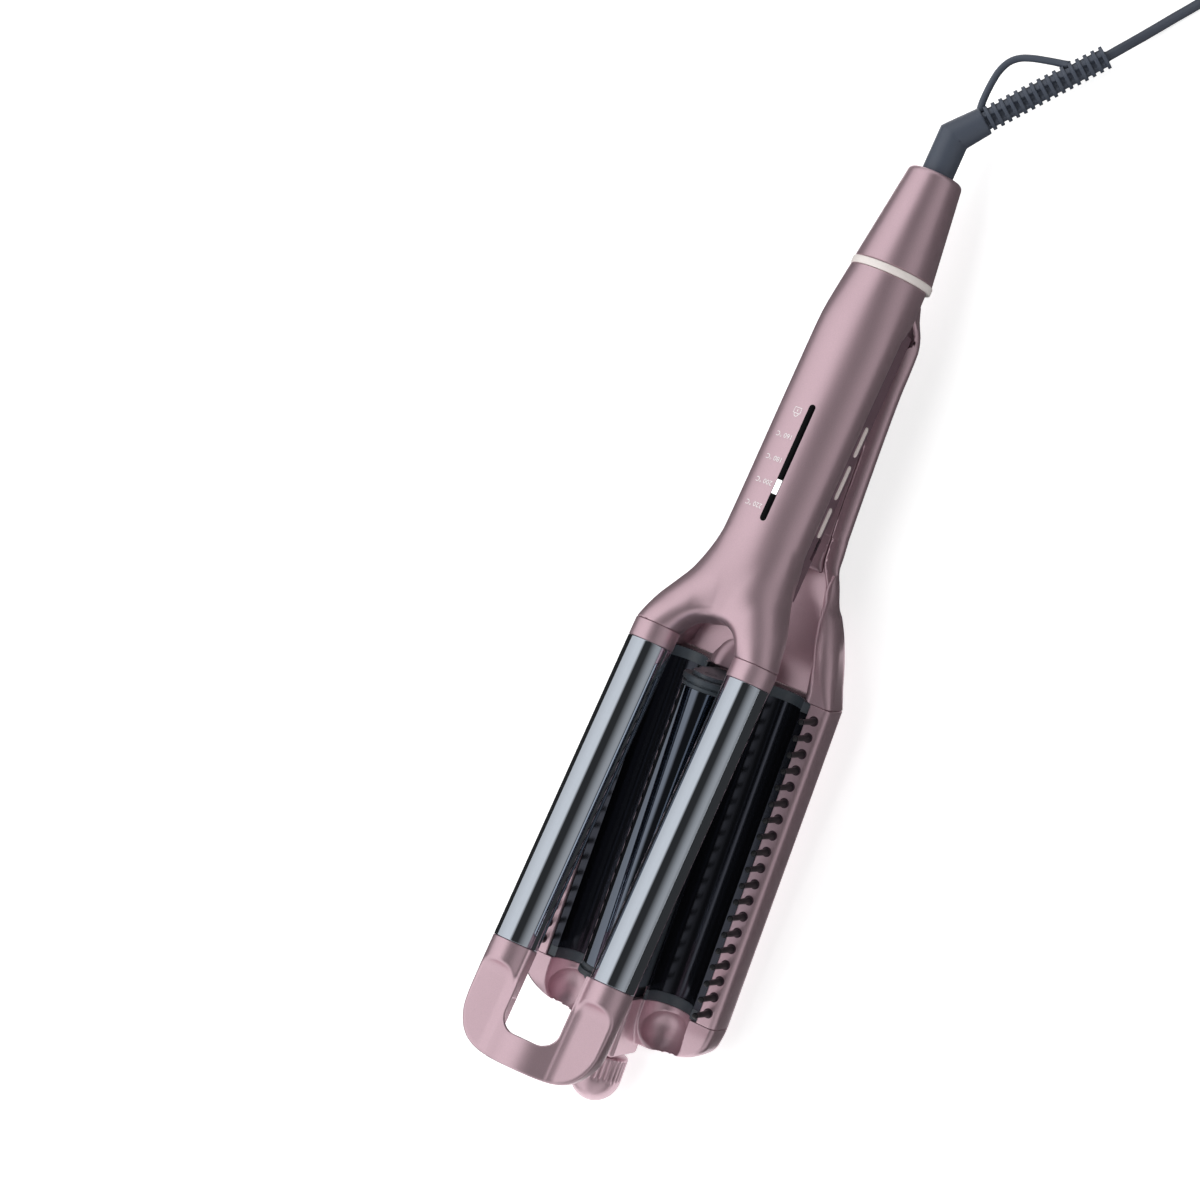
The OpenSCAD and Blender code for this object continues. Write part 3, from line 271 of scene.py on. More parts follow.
def tray(y, z, half, low, corner_y, corner_z):
    """Section open to the top: upright sides and a level bottom joined by oval corners."""
    dy = np.abs(y) - (half - corner_y)
    dz = low + corner_z - z
    corner = ellipse(np.maximum(dy, 0), np.maximum(dz, 0), corner_y, corner_z)
    flat = np.maximum(np.abs(y) - half, low - z)
    return np.where((dy > 0) & (dz > 0), corner, flat)


# ---------------- meshes
def add_mesh(name, form, matrix, finish, body, replaces=(), normals=None, sharp=None):
    """Piece of (points, faces) in the matrix's frame, riding on its body with its slot."""
    points, faces = form
    mesh = bpy.data.meshes.new(name)
    place = np.array(matrix)
    points = np.asarray(points, float) @ place[:3, :3].T + place[:3, 3]
    mesh.from_pydata(points.tolist(), [], faces if isinstance(faces, list) else faces.tolist())
    mesh.polygons.foreach_set("use_smooth", [True] * len(mesh.polygons))
    mesh.materials.append(finish)
    mesh.update()
    if normals is not None:
        turned = np.asarray(normals) @ place[:3, :3].T
        turned /= np.linalg.norm(turned, axis=1, keepdims=True)
        mesh.normals_split_custom_set_from_vertices(turned.tolist())
    elif sharp:
        mesh.set_sharp_from_angle(angle=math.radians(sharp))
    made = put(name, mesh)
    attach(made, body)
    if replaces:
        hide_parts(*replaces)
    return made


def slope_of(field, p, h=0.02):
    """Gradient of the field at the points p."""
    steps = np.eye(3) * h
    return np.stack([(field(*(p + s).T) - field(*(p - s).T)) / (2 * h) for s in steps], 1)


def surface(field, low, high, step):
    """Points, faces and normals of the closed surface field = 0, which is negative inside."""
    low = np.array(low, float)
    axes = [np.arange(a, b + step, step) for a, b in zip(low, high)]
    values = field(*np.meshgrid(*axes, indexing="ij"))
    inside = values < 0
    size = np.array(inside.shape) - 1
    corners = list(itertools.product((0, 1), repeat=3))
    count = sum(inside[tuple(slice(o, o + n) for o, n in zip(c, size))].astype(np.int8) for c in corners)
    mixed = (count > 0) & (count < 8)
    index = np.full(mixed.shape, -1)
    index[mixed] = np.arange(mixed.sum())
    cells = np.argwhere(mixed)
    total, hits = np.zeros((len(cells), 3)), np.zeros((len(cells), 1))
    faces = []
    for axis in range(3):
        unit = np.eye(3, dtype=int)[axis]
        u, v = np.eye(3, dtype=int)[(axis + 1) % 3], np.eye(3, dtype=int)[(axis + 2) % 3]
        for i, j in itertools.product((0, 1), repeat=2):
            start = cells + i * u + j * v
            a, b = values[tuple(start.T)], values[tuple((start + unit).T)]
            crossed = (a < 0) != (b < 0)
            share = (a[crossed] / (a[crossed] - b[crossed]))[:, None]
            total[crossed] += start[crossed] + share * unit
            hits[crossed] += 1
        head = inside[tuple(slice(0, n) if k == axis else slice(1, n) for k, n in enumerate(size))]
        tail = inside[tuple(slice(1, n + 1) if k == axis else slice(1, n) for k, n in enumerate(size))]
        edges = np.argwhere(head != tail) + (1 - unit)
        around = ((0, 0), (1, 0), (1, 1), (0, 1))
        quads = np.stack([index[tuple((edges - a * u - b * v).T)] for a, b in around], 1)
        outward = inside[tuple(edges.T)]
        quads[~outward] = quads[~outward][:, ::-1]
        faces.append(quads)
    points = low + step * total / hits
    for _ in range(4):
        g = slope_of(field, points)
        move = g * (field(*points.T) / np.maximum((g**2).sum(1), 1e-3))[:, None]
        points -= np.clip(move, -step / 2, step / 2)
    return points, np.concatenate(faces), slope_of(field, points, 0.05)


def add_surface(name, field, low, high, step, matrix, finish, body, replaces=()):
    """Piece made from a field, within the box from low to high."""
    points, faces, normals = surface(field, low, high, step)
    return add_mesh(name, (points, faces), matrix, finish, body, replaces, normals)


def bands(rings, n):
    """Faces between neighbours of a row of rings that have n points each."""
    return [
        (k * n + i, k * n + (i + 1) % n, (k + 1) * n + (i + 1) % n, (k + 1) * n + i)
        for k in range(rings - 1) for i in range(n)
    ]


def lids(rings, n):
    """Faces that close the first and the last of a row of rings."""
    last = (rings - 1) * n
    return [tuple(range(n))[::-1], tuple(range(last, last + n))]


def turned(profile, y=0.0, z=0.0, sides=96):
    """Points and faces of a closed ring or solid turned about X, from (x, radius) points."""
    points = []
    for x, r in profile:
        for s in range(sides):
            a = 2 * math.pi * s / sides
            points.append((x, y + r * math.cos(a), z + r * math.sin(a)))
    return points, bands(len(profile), sides)


def capped(profile, y=0.0, z=0.0, sides=96):
    """A turned solid whose two ends are closed by discs."""
    points, faces = turned(profile, y, z, sides)
    return points, faces + lids(len(profile), sides)


def inside_out(form):
    """The same form with its faces turned the other way."""
    return form[0], [face[::-1] for face in form[1]]


def merged(parts):
    """Several (points, faces) pairs as one."""
    points, faces = [], []
    for more_points, more_faces in parts:
        start = len(points)
        points += list(more_points)
        faces += [tuple(start + i for i in face) for face in more_faces]
    return points, faces


def rounded(x0, x1, r, edge=0.3, inner=None):
    """Profile of a cylinder with rounded rims, hollow where inner is its bore's radius."""
    arc = [math.radians(a) for a in (90, 60, 30, 0)]
    back = [(x0 + edge - edge * math.sin(a), r - edge + edge * math.cos(a)) for a in arc]
    front = [(x1 - edge + edge * math.sin(a), r - edge + edge * math.cos(a)) for a in arc[::-1]]
    outside = back + front
    if inner is None:
        return outside
    return [(x0, inner)] + outside + [(x1, inner), (x0, inner)]


def tube(path, radius, sides=12):
    """Points and faces of a tube along the path; radius is a number or one for each point."""
    path = np.asarray(path, float)
    radius = np.broadcast_to(radius, len(path))
    heading = np.gradient(path, axis=0)
    heading /= np.linalg.norm(heading, axis=1, keepdims=True)
    side = np.cross(heading[0], (0, 0, 1))
    side /= np.linalg.norm(side)
    rings = []
    for p, h, r in zip(path, heading, radius):
        side = side - h * (side @ h)
        side /= np.linalg.norm(side)
        up = np.cross(h, side)
        turns = [2 * math.pi * s / sides for s in range(sides)]
        rings.append([p + r * (math.cos(a) * side + math.sin(a) * up) for a in turns])
    points = np.array(rings).reshape(-1, 3)
    faces = [(a, d, c, b) for a, b, c, d in bands(len(path), sides)]
    return points, faces + [face[::-1] for face in lids(len(path), sides)]


def spline(points, per_span):
    """Points of a smooth curve through the given ones."""
    p = np.array(points, float)
    p = np.vstack([2 * p[0] - p[1], p, 2 * p[-1] - p[-2]])
    made = []
    for i in range(1, len(p) - 2):
        for s in range(per_span):
            t = s / per_span
            made.append(
                0.5
                * (
                    2 * p[i]
                    + (p[i + 1] - p[i - 1]) * t
                    + (2 * p[i - 1] - 5 * p[i] + 4 * p[i + 1] - p[i + 2]) * t**2
                    + (3 * p[i] - p[i - 1] - 3 * p[i + 1] + p[i + 2]) * t**3
                )
            )
    made.append(p[-2])
    return np.array(made)


# ---------------- cord and plug
CORD_POINTS = [
    (-243, 42, 9.3), (-247.1, 45.1, 8), (-251.2, 48, 6.2), (-255.4, 51, 4.5), (-260.1, 54.5, 3.2),
    (-265.9, 59.1, 2.4), (-273.4, 65.5, 2.1), (-283.4, 73.6, 2.1), (-293.8, 81.7, 2.3), (-304.3, 89.4, 2.8),
]
TAIL_POINTS = [
    (-326, 96.9, 14.8), (-339, 97.6, 13.8), (-352, 95.6, 11.9), (-364, 90.8, 9.8), (-374, 83.4, 8.2),
    (-381, 74, 7.3), (-384, 64, 7),
]
COIL_MID = (-326.0, 61.4)
COIL_IN, COIL_OUT = 22.5, 35.5
COIL_LAYERS = 4
COIL_FIRST_Z = 2.8
COIL_TURNS = 9
PLUG_AT = (-384, 64, 7)
PLUG_GRIP, PLUG_LEN, PLUG_W, PLUG_H = 12.0, 36.0, 35.3, 13.6
PLUG_PITCH, PLUG_PIN_R, PLUG_PIN_LEN, PLUG_SLEEVE_LEN = 18.6, 2.0, 19.0, 9


def coil_path():
    """Turns that run in and out in layers, from the cord's end up to the tail's start."""
    start = math.atan2(CORD_POINTS[-1][1] - COIL_MID[1], CORD_POINTS[-1][0] - COIL_MID[0])
    end = math.pi / 2 + 2 * math.pi * COIL_TURNS
    steps = int((end - start) / math.radians(12))
    made = []
    for s in range(1, steps):
        share = s / steps * COIL_LAYERS
        layer = int(share)
        within = share - layer
        inward = within if layer % 2 == 0 else 1 - within
        climb = min(1, within / 0.16)
        rise = layer - 1 + climb * climb * (3 - 2 * climb) if layer else 0
        r = COIL_OUT - (COIL_OUT - COIL_IN) * inward
        a = start + (end - start) * s / steps
        z = COIL_FIRST_Z + CORD_D * rise
        made.append((COIL_MID[0] + r * math.cos(a), COIL_MID[1] + r * math.sin(a), z))
    return made


def add_cord():
    """Cord from the relief through the coil to the plug; gives it and its path in metres."""
    lead, tail = spline(CORD_POINTS, 4), spline(TAIL_POINTS, 5)
    path = np.vstack([lead, coil_path(), tail])
    cord = add_mesh(
        "power_cord_tube", tube(path, CORD_D / 2), MM, RUBBER, "root",
        ("power_cord", "cord_coil", "cord_tail"), sharp=60,
    )
    return cord, path * 0.001


def plug_field(x, y, z):
    """Flat body with a ribbed grip on the cord and two grooves across it."""
    half = curve([(0, 5), (6, 8.6), (14, 15), (22, PLUG_W / 2), (PLUG_LEN, PLUG_W / 2)], x - PLUG_GRIP)
    high = curve([(0, 4.6), (8, 5.6), (18, PLUG_H / 2), (PLUG_LEN, PLUG_H / 2)], x - PLUG_GRIP)
    body = meet(ellipse(y, z * 0, half, high), np.abs(z) - high, 3.2)
    body = meet(body, slab(x, PLUG_GRIP, PLUG_GRIP + PLUG_LEN), 1.2)
    ribs = 0.35 * np.cos(np.clip(x, 2, PLUG_GRIP) * 2 * math.pi / 2.8)
    grip = meet(np.hypot(y, z) - (3.4 + 1.5 * x / PLUG_GRIP) + ribs, slab(x, 0, PLUG_GRIP + 4), 0.6)
    grooves = join(slab(x, PLUG_GRIP + 9, PLUG_GRIP + 10.4), slab(x, PLUG_GRIP + 14, PLUG_GRIP + 15.4), 0.1)
    grooves = grooves + np.maximum(0, high - 0.7 - np.abs(z)) * 3
    return join(cut(body, grooves, 0.3), grip, 2.0)


def add_plug():
    """Plug at the cord's end; gives its pieces."""
    place = MM @ Matrix.Translation(PLUG_AT) @ Matrix.Rotation(-math.pi / 2, 4, "Z")
    body = add_surface(
        "plug_body_form", plug_field, (-1, -19, -8), (PLUG_GRIP + PLUG_LEN + 1, 19, 8), 0.8, place, SLATE,
        "root", ("plug_body",),
    )
    front = PLUG_GRIP + PLUG_LEN
    pins = []
    for side in (-1, 1):
        sleeve = rounded(front - 1, front + PLUG_SLEEVE_LEN, PLUG_PIN_R, 0.1)
        metal = rounded(front + PLUG_SLEEVE_LEN, front + PLUG_PIN_LEN, PLUG_PIN_R, 0.9)
        pins += [capped(sleeve, side * PLUG_PITCH / 2, 0, 32), capped(metal, side * PLUG_PITCH / 2, 0, 32)]
    made = add_mesh("plug_pin_pair", merged(pins), place, PIN, "root", ("plug_pins",), sharp=40)
    return [body, made]


# ---------------- cord swivel, relief and loop
NECK_R = 6.35
ELBOW_LEN, ELBOW_TAPER = 13.0, 0.75
RELIEF_LEN = 52.6
RELIEF_END = ELBOW_LEN + RELIEF_LEN
RELIEF_R, RELIEF_TAPER = 5.0, 0.35
SLEEVE_R, SLEEVE_END_R, RAIL_HALF = 2.4, 2.1, 1.25
RELIEF_ROLL = math.radians(31.6)
RIB_T, RIB_PITCH, RIB_PROUD = 1.5, 3.28, 0.85
NECK_AXIS = np.array(BEND.inverted().to_3x3() @ Vector((-1, 0, 0)))


def elbow_field(x, y, z):
    """Neck and outlet meet in a mitre across the bend."""
    p = np.stack(np.broadcast_arrays(x, y, z), -1)
    along = p @ NECK_AXIS
    neck = np.sqrt(np.maximum((p**2).sum(-1) - along**2, 0)) - NECK_R
    outlet = np.hypot(y, z) - (NECK_R - ELBOW_TAPER * np.clip(x / ELBOW_LEN, 0, 1))
    past_bend = p @ (NECK_AXIS + np.array([1, 0, 0]))
    both = np.where(past_bend < 0, neck, outlet)
    both = meet(both, x - ELBOW_LEN - 0.6, 0.5)
    return meet(both, -along - BEND_BACK - 2, 0.3)


def relief_field(x, y, z):
    """Sleeve with square ribs, joined by four rails with open windows between them."""
    turn = RELIEF_ROLL
    y, z = y * math.cos(turn) + z * math.sin(turn), z * math.cos(turn) - y * math.sin(turn)
    r = np.hypot(y, z)
    size = RELIEF_R - RELIEF_TAPER * (x - ELBOW_LEN) / RELIEF_LEN
    back = RELIEF_END - RIB_T / 2 - x
    rib = np.abs(np.mod(back + RIB_PITCH / 2, RIB_PITCH) - RIB_PITCH / 2) - RIB_T / 2
    rail = np.minimum(np.abs(y + z), np.abs(y - z)) / math.sqrt(2) - RAIL_HALF
    ribs = meet(r - size, rib, 0.15)
    rails = np.maximum(r - size + RIB_PROUD, rail)
    whole = np.minimum(np.minimum(ribs, rails), r - SLEEVE_R)
    form = meet(whole, slab(x, ELBOW_LEN - 0.4, RELIEF_END), 0.2)
    return np.minimum(form, np.maximum(r - SLEEVE_END_R, slab(x, RELIEF_END - 3, RELIEF_END + 0.7)))


LOOP_POINTS = [
    (13.2, 4, 0), (15.2, 6.6, 0.2), (18.6, 9.6, 0.4), (22.6, 12.5, 0.8), (27, 15.1, 1), (31.6, 16.4, 1),
    (36, 15.8, 0.9), (40.4, 13.3, 0.8), (44.8, 9.9, 0.5), (48.4, 6.9, 0.2), (51.4, 4, 0),
]


def add_swivel():
    """Elbow, strain relief and hanging loop; gives the last two."""
    add_surface(
        "swivel_elbow_form", elbow_field, (-24, -18, -9), (15, 18, 9), 0.6, ELBOW, SLATE, "swivel",
        ("swivel_elbow",),
    )
    relief = add_surface(
        "strain_relief_form", relief_field, (ELBOW_LEN - 1, -6, -6), (RELIEF_END + 0.5, 6, 6),
        0.31, ELBOW, SLATE, "swivel", ("strain_relief",),
    )
    path = spline(LOOP_POINTS, 6)
    ends = np.minimum(np.arange(len(path)), np.arange(len(path))[::-1])
    form = tube(path, 1.4 + 0.5 * np.exp(-ends / 2.5), 16)
    loop = add_mesh("hanging_loop_form", form, ELBOW, SLATE, "swivel", ("hanging_loop",))
    return [relief, loop]


add_camera()
cord, cord_path = add_cord()
on_cord = add_swivel() + add_plug() + ["cord_tie"]

# ---------------- upper arm
# Each table holds a size of the form at places along X.
SHELL_HALF = [
    (-161, 16.2), (-145, 16.5), (-100, 16.6), (-50, 16.7), (-38, 17.4), (-30, 16.4), (-22, 13), (-10, 9),
]
SHELL_TOP = [
    (-161, -1.2), (-150, 0.6), (-140, 1.8), (-130, 2), (-50, 2), (-40, 2.4), (-30, 4), (-22, 5.4), (-10, 6),
]
DOME_Z = [(-161, -17.5), (-150, -13.6), (-140, -10.3), (-130, -9.5), (-50, -9.5), (-30, -8.6), (-10, -7)]
SHELL_EDGE = [
    (-161, -17.3), (-146.5, -17.3), (-142.5, -15.4), (-138.5, -13.3), (-50, -13.3), (-40, -15.5), (-30, -17),
]
LEG_MID = [(-50, 3.6), (-40, 4.2), (-30, 7), (-22, 10.6), (-15, 14.2), (-9, 18.2), (FORK_SEAM, BARREL_Y)]
LEG_HALF = [(-50, 11.6), (-40, 12.8), (-30, 13.4), (-22, 13.4), (-15, 12.9), (-9, 10.7), (FORK_SEAM, BARREL_R)]
LEG_TOP = [(-50, 0.6), (-40, 2.1), (-30, 4.2), (-22, 6.2), (-15, 7.8), (-9, 9.1), (FORK_SEAM, 9.6)]
LEG_LOW = [(-50, -13.5), (-40, -18), (-30, -21), (-22, -18.5), (-15, -14), (-9, -10.5), (FORK_SEAM, -8.4)]
ARCH_R, ARCH_X = 10.8, FORK_SEAM + 0.3
SHELL_WALL, SHELL_HOLLOW_END = 1.8, -54


def leg_field(x, y, z):
    """One leg of the fork, on the side where y is positive."""
    top, low = curve(LEG_TOP, x), curve(LEG_LOW, x)
    return ellipse(y - curve(LEG_MID, x), z - (top + low) / 2, curve(LEG_HALF, x), (top - low) / 2)


def dome_field(x, y, z):
    """Rounded back of the handle, with upright flanks below it."""
    centre = curve(DOME_Z, x)
    return ellipse(y, np.maximum(z - centre, 0), curve(SHELL_HALF, x), curve(SHELL_TOP, x) - centre)


def upper_form(x, y, z):
    """Handle and both legs of the fork as one form."""
    handle = meet(meet(dome_field(x, y, z), curve(SHELL_EDGE, x) - z, 0.5), x + 11, 3)
    legs = join(leg_field(x, y, z), leg_field(x, -y, z), 4)
    return join(handle, np.maximum(legs, FORK_BACK - x), curve([(FORK_BACK, 0.1), (-42, 1.5), (-28, 6)], x))


def upper_shell_field(x, y, z):
    """Hollow handle with the arch between the fork's legs cut out."""
    dome = dome_field(x, y, z)
    form = upper_form(x, y, z)
    arch = np.hypot(np.minimum(x - ARCH_X, 0), y) - ARCH_R
    form = cut(form, arch, 4.2)
    form = meet(form, x - FORK_SEAM + 0.05, 0.3)
    hollow = np.maximum(dome + SHELL_WALL, x - SHELL_HOLLOW_END)
    return meet(np.maximum(form, -hollow), HANDLE_BACK - x, 0.25)


BRIDGE_REACH, BRIDGE_HALF = HEAT_LEN + 39.7 - BARREL_END, 30.7
PLATE_LOW, PLATE_TOP = 1.7, 4.7
RIDGE_R, RIDGE_Z = 23, -13.9
UNDER_X, UNDER_RISE, UNDER_SLANT = 145.3, 0.39, 1.073
FACE_X = 136.5
WINDOW_END, WINDOW_HALF = 160, 12
BAR_X, BAR_LOW, BAR_HALF = 148, 4.3, 12.4


def tip_bridge_field(x, y, z):
    """Ends of both barrels under one roof, with an open window and a bar ahead of it."""
    s = np.abs(y)
    tube_form = np.hypot(s - BARREL_Y, z - BARREL_Z) - BARREL_R
    roof = join(z - PLATE_TOP, np.hypot(y, z - RIDGE_Z) - RIDGE_R, 2.5)
    plate = np.maximum(np.maximum(s - BARREL_Y, PLATE_LOW - z), roof)
    form = join(tube_form, plate, 1.6)
    plan = ((np.maximum(x - BARREL_END, 0) / BRIDGE_REACH) ** 4 + (s / BRIDGE_HALF) ** 4) ** 0.25
    form = meet(form, (plan - 1) * 28, 0.9)
    under = (-BARREL_R + BARREL_Z + UNDER_RISE * (x - UNDER_X) - z) / UNDER_SLANT
    form = meet(form, under, 0.9)
    form = cut(form, meet(FACE_X - x, -roof, 8), 0.9)
    form = cut(form, meet(x - WINDOW_END, s - WINDOW_HALF, 7), 0.7)
    below_bar = np.maximum(np.maximum(s - BAR_HALF, z - BAR_LOW), BAR_X - x)
    form = cut(form, below_bar, 0.5)
    return meet(form, BARREL_END + 0.05 - x, 0.3)


CONE_BORE, CONE_NOSE_R, CONE_ROUND = 13.8, 8.95, 2.2


def cone_profile():
    """Section of the rear cone, from its seat on the ring to its rounded nose."""
    profile = [(CONE_X - 0.1, CONE_BORE), (CONE_X - 0.15, 15.7), (CONE_X - 0.6, 16.0), (CONE_END_X + 2.4, 11.2)]
    for a in np.radians((10, 30, 50, 70, 90)):
        x = CONE_END_X + CONE_ROUND - CONE_ROUND * math.sin(a)
        profile.append((x, CONE_NOSE_R + CONE_ROUND * math.cos(a)))
    profile += [(CONE_END_X, NECK_R + 0.1), (CONE_END_X + CONE_ROUND, NECK_R + 0.1)]
    return profile + profile[:1]


def add_upper_arm():
    """Handle, bridge, collars, barrels, cone and ring."""
    add_surface(
        "upper_shell_form", upper_shell_field, (-162, -32, -23), (-2, 32, 11), 0.75, UPPER, ROSE, "root",
        ("upper_shell",),
    )
    add_surface(
        "tip_bridge_form", tip_bridge_field, (BARREL_END - 1, -32, -10), (HEAT_LEN + 41, 32, 11), 0.55,
        UPPER, ROSE, "root", ("tip_bridge",),
    )
    collar = rounded(FORK_SEAM + 0.05, BEZEL_LEN - 0.05, BARREL_R, 0.3, 5)
    collars = merged([turned(collar, side * BARREL_Y, BARREL_Z) for side in (-1, 1)])
    add_mesh("barrel_collar_pair", collars, UPPER, ROSE, "root", ("barrel_collars",), sharp=35)
    for side, name in ((-1, "left"), (1, "right")):
        profile = rounded(BEZEL_LEN + 0.05, BARREL_END - 0.05, BARREL_R, 0.35, BARREL_R - TUBE_WALL)
        form, node = turned(profile, side * BARREL_Y, BARREL_Z, 128), f"upper_barrel_{name}"
        add_mesh(f"upper_tube_{name}", form, UPPER, BARREL, "root", (node,), sharp=35)
    cone = inside_out(turned(cone_profile(), 0, HINGE_Z, 128))
    add_mesh("rear_cone_form", cone, UPPER, ROSE, "root", ("rear_cone",), sharp=40)
    ring = turned(rounded(CONE_X + 0.05, HANDLE_BACK - 0.05, RING_R, 0.5, RING_R - 2.2), 0, HINGE_Z, 128)
    add_mesh("trim_ring_form", ring, UPPER, TRIM, "root", ("trim_ring",), sharp=40)


def pill(x0, x1, half, n=10):
    """Outline with round ends, as (x, across) points."""
    arc = [math.pi * (k / n - 0.5) for k in range(n + 1)]
    front = [(x1 - half + half * math.cos(a), half * math.sin(a)) for a in arc]
    back = [(x0 + half - half * math.cos(a), -half * math.sin(a)) for a in arc]
    return front + back


def prism(outline, low, high, edge, place):
    """A flat form with a bevelled top: place puts (along, across, height) into the frame."""
    mid = np.mean(outline, axis=0)
    points = []
    for inset, h in ((0, low), (0, high - edge), (edge, high)):
        for a, b in outline:
            along, across = a - mid[0], b - mid[1]
            back = inset * np.sign(along) * min(1, abs(along) / 4)
            pull = min(inset / max(abs(across), edge), 0.6)
            points.append(place(a - back, mid[1] + across * (1 - pull), h))
    return points, bands(3, len(outline)) + lids(3, len(outline))


BUTTONS = {"power": (-105.1, -92.6), "minus": (-88.9, -74.8), "plus": (-71.2, -58.8)}
BUTTON_HALF, BUTTON_PROUD = 1.3, 0.6
CROWN_R, CROWN_HALF = 11.5, 16.6
LED_BACK, LED_FRONT, LED_W = -103.2, -55.0, 2.6
LIT_MID, LIT_HALF, LIT_SIDE = -69.0, 2.9, 1.1


def on_side(a, b, h):
    """Place on the band's +Y side."""
    return (a, h, BUTTON_Z + b)


def on_crown(a, b, h):
    """Place on the handle's crown, following the dome."""
    drop = CROWN_R * (1 - math.sqrt(1 - (b / CROWN_HALF) ** 2))
    return (a, b, CROWN_Z - drop + h)


def add_buttons():
    """Caps of the three buttons, and the window with its lit segment."""
    for name, (x0, x1) in BUTTONS.items():
        outline, body = pill(x0, x1, BUTTON_HALF), f"{name}_button"
        cap = prism(outline, BAND_HALF - 2.1, BAND_HALF + BUTTON_PROUD, 0.25, on_side)
        add_mesh(f"{body}_cap", inside_out(cap), UPPER, BUTTON, body, (body,), sharp=50)
    window = prism(pill(LED_BACK, LED_FRONT, LED_W / 2, 14), -0.9, 0.04, 0.05, on_crown)
    add_mesh("display_window", window, UPPER, WINDOW, "root", ("led_window",), sharp=50)
    back, front = LIT_MID - LIT_HALF, LIT_MID + LIT_HALF
    outline = [(back, -LIT_SIDE), (front, -LIT_SIDE), (front, LIT_SIDE), (back, LIT_SIDE)]
    lit = prism(outline, -0.6, 0.07, 0.02, on_crown)
    add_mesh("lit_segment_face", lit, UPPER, LED, "root", ("led_light",), sharp=50)


SCALE_FIRST, SCALE_PITCH = -88.5, 9.5
SCALE_TEXT = ("160 °C", "180 °C", "200 °C", "220 °C")
SCALE_Y, SCALE_SIZE = -2.3, 2.7
LOCK_X, LOCK_Y = -98.8, -5.2
PRINT_LINE, PRINT_H = 0.28, 0.06


def text_piece(body, size, x, y):
    """Flat letters laid on the crown, read from the window outward."""
    data = bpy.data.curves.new("letters", "FONT")
    data.body, data.size, data.align_y = body, size, "CENTER"
    holder = bpy.data.objects.new("letters", data)
    mesh = holder.to_mesh()
    points = [on_crown(x + v.co.y, y - v.co.x, PRINT_H) for v in mesh.vertices]
    faces = [tuple(p.vertices) for p in mesh.polygons]
    holder.to_mesh_clear()
    bpy.data.objects.remove(holder)
    bpy.data.curves.remove(data)
    return points, faces


def line_piece(path, width):
    """Thin printed line through (along, across) points."""
    points = []
    for k, here in enumerate(path):
        before, after = np.array(path[max(k - 1, 0)]), np.array(path[min(k + 1, len(path) - 1)])
        run = (after - before) / np.hypot(*(after - before))
        for side in (-1, 1):
            a, b = np.array(here) + side * width / 2 * np.array([-run[1], run[0]])
            points.append(on_crown(a, b, PRINT_H))
    return points, [(2 * k, 2 * k + 1, 2 * k + 3, 2 * k + 2) for k in range(len(path) - 1)]


def add_print():
    """Temperature scale and a padlock sign beside the window."""
    parts = []
    for k, text in enumerate(SCALE_TEXT):
        parts.append(text_piece(text, SCALE_SIZE, SCALE_FIRST + SCALE_PITCH * k, SCALE_Y))
    low, top, left, right = LOCK_X - 1.4, LOCK_X + 0.9, LOCK_Y - 1.5, LOCK_Y + 1.5
    body = [(top, LOCK_Y), (top, left), (low, left), (low, right), (top, right), (top, LOCK_Y)]
    arch = [(top + 1.3 * math.sin(a), LOCK_Y - 0.95 * math.cos(a)) for a in np.linspace(0, math.pi, 13)]
    parts += [line_piece(body, PRINT_LINE), line_piece(arch, PRINT_LINE)]
    parts.append(line_piece([(LOCK_X + 0.2, LOCK_Y), (LOCK_X - 0.7, LOCK_Y)], 0.3))
    add_mesh("temperature_print", merged(parts), UPPER, PRINT, "root")


# ---------------- lower arm
LOWER_BACK = -156.0
LOWER_HALF = [
    (-156, 11.4), (-149, 12.8), (-143, 15.2), (-137, 16.7), (-118, 17), (-50, 17.2), (-41, 21.4), (-35, 24.8),
    (-32, 27.6), (-25, 32.2), (-15.5, 37), (-7, 40.2), (0, 42.7),
]
LOWER_TOP = [
    (-156, -20.4), (-151, -21.4), (-144.5, -25), (-60, -25), (-50, -24.2), (-40, -19), (-30, -10.6),
    (-20, -4), (-10, -0.8), (0, 0),
]
LOWER_LOW = [
    (-156, -32), (-148, -34.4), (-137, -36), (-60, -36), (-50, -36), (-38, -32.6), (-25, -27.4),
    (-12, -22.4), (0, -20.5),
]
CORNER_Y = [(-156, 10.8), (-118, 16.4), (-60, 16.4), (-35, 18), (-15, 12), (0, 9)]
CORNER_Z = [(-156, 5.4), (-118, 9.4), (-60, 9.4), (-35, 12.4), (-15, 10.6), (0, 9)]
BAND_LOW, BAND_FRONT = -24.4, -33.0
LOWER_FLOOR = 2.2
COVER_GAP, COVER_DEPTH, COVER_BACK, COVER_FRONT = 0.15, 4.5, -138, -0.4
TOP_ROUND = [(-156, 1.1), (-146, 1.4), (-139, 5), (-60, 5), (-45, 6), (-12, 6), (0, 3)]


def lower_sides(x, y, z):
    """Sides and bottom of the lower arm, open to the top."""
    return tray(y, z, curve(LOWER_HALF, x), curve(LOWER_LOW, x), curve(CORNER_Y, x), curve(CORNER_Z, x))


def lower_form(x, y, z):
    """Outside of the lower arm: one smooth form over the shell's rim and its cover."""
    crown = 1.4 * (np.minimum(np.abs(y), 15) / 13) ** 2 * np.clip((-50 - x) / 10, 0, 1)
    form = meet(lower_sides(x, y, z), z - curve(LOWER_TOP, x) + crown, curve(TOP_ROUND, x))
    return meet(form, LOWER_BACK - x, 2.2)


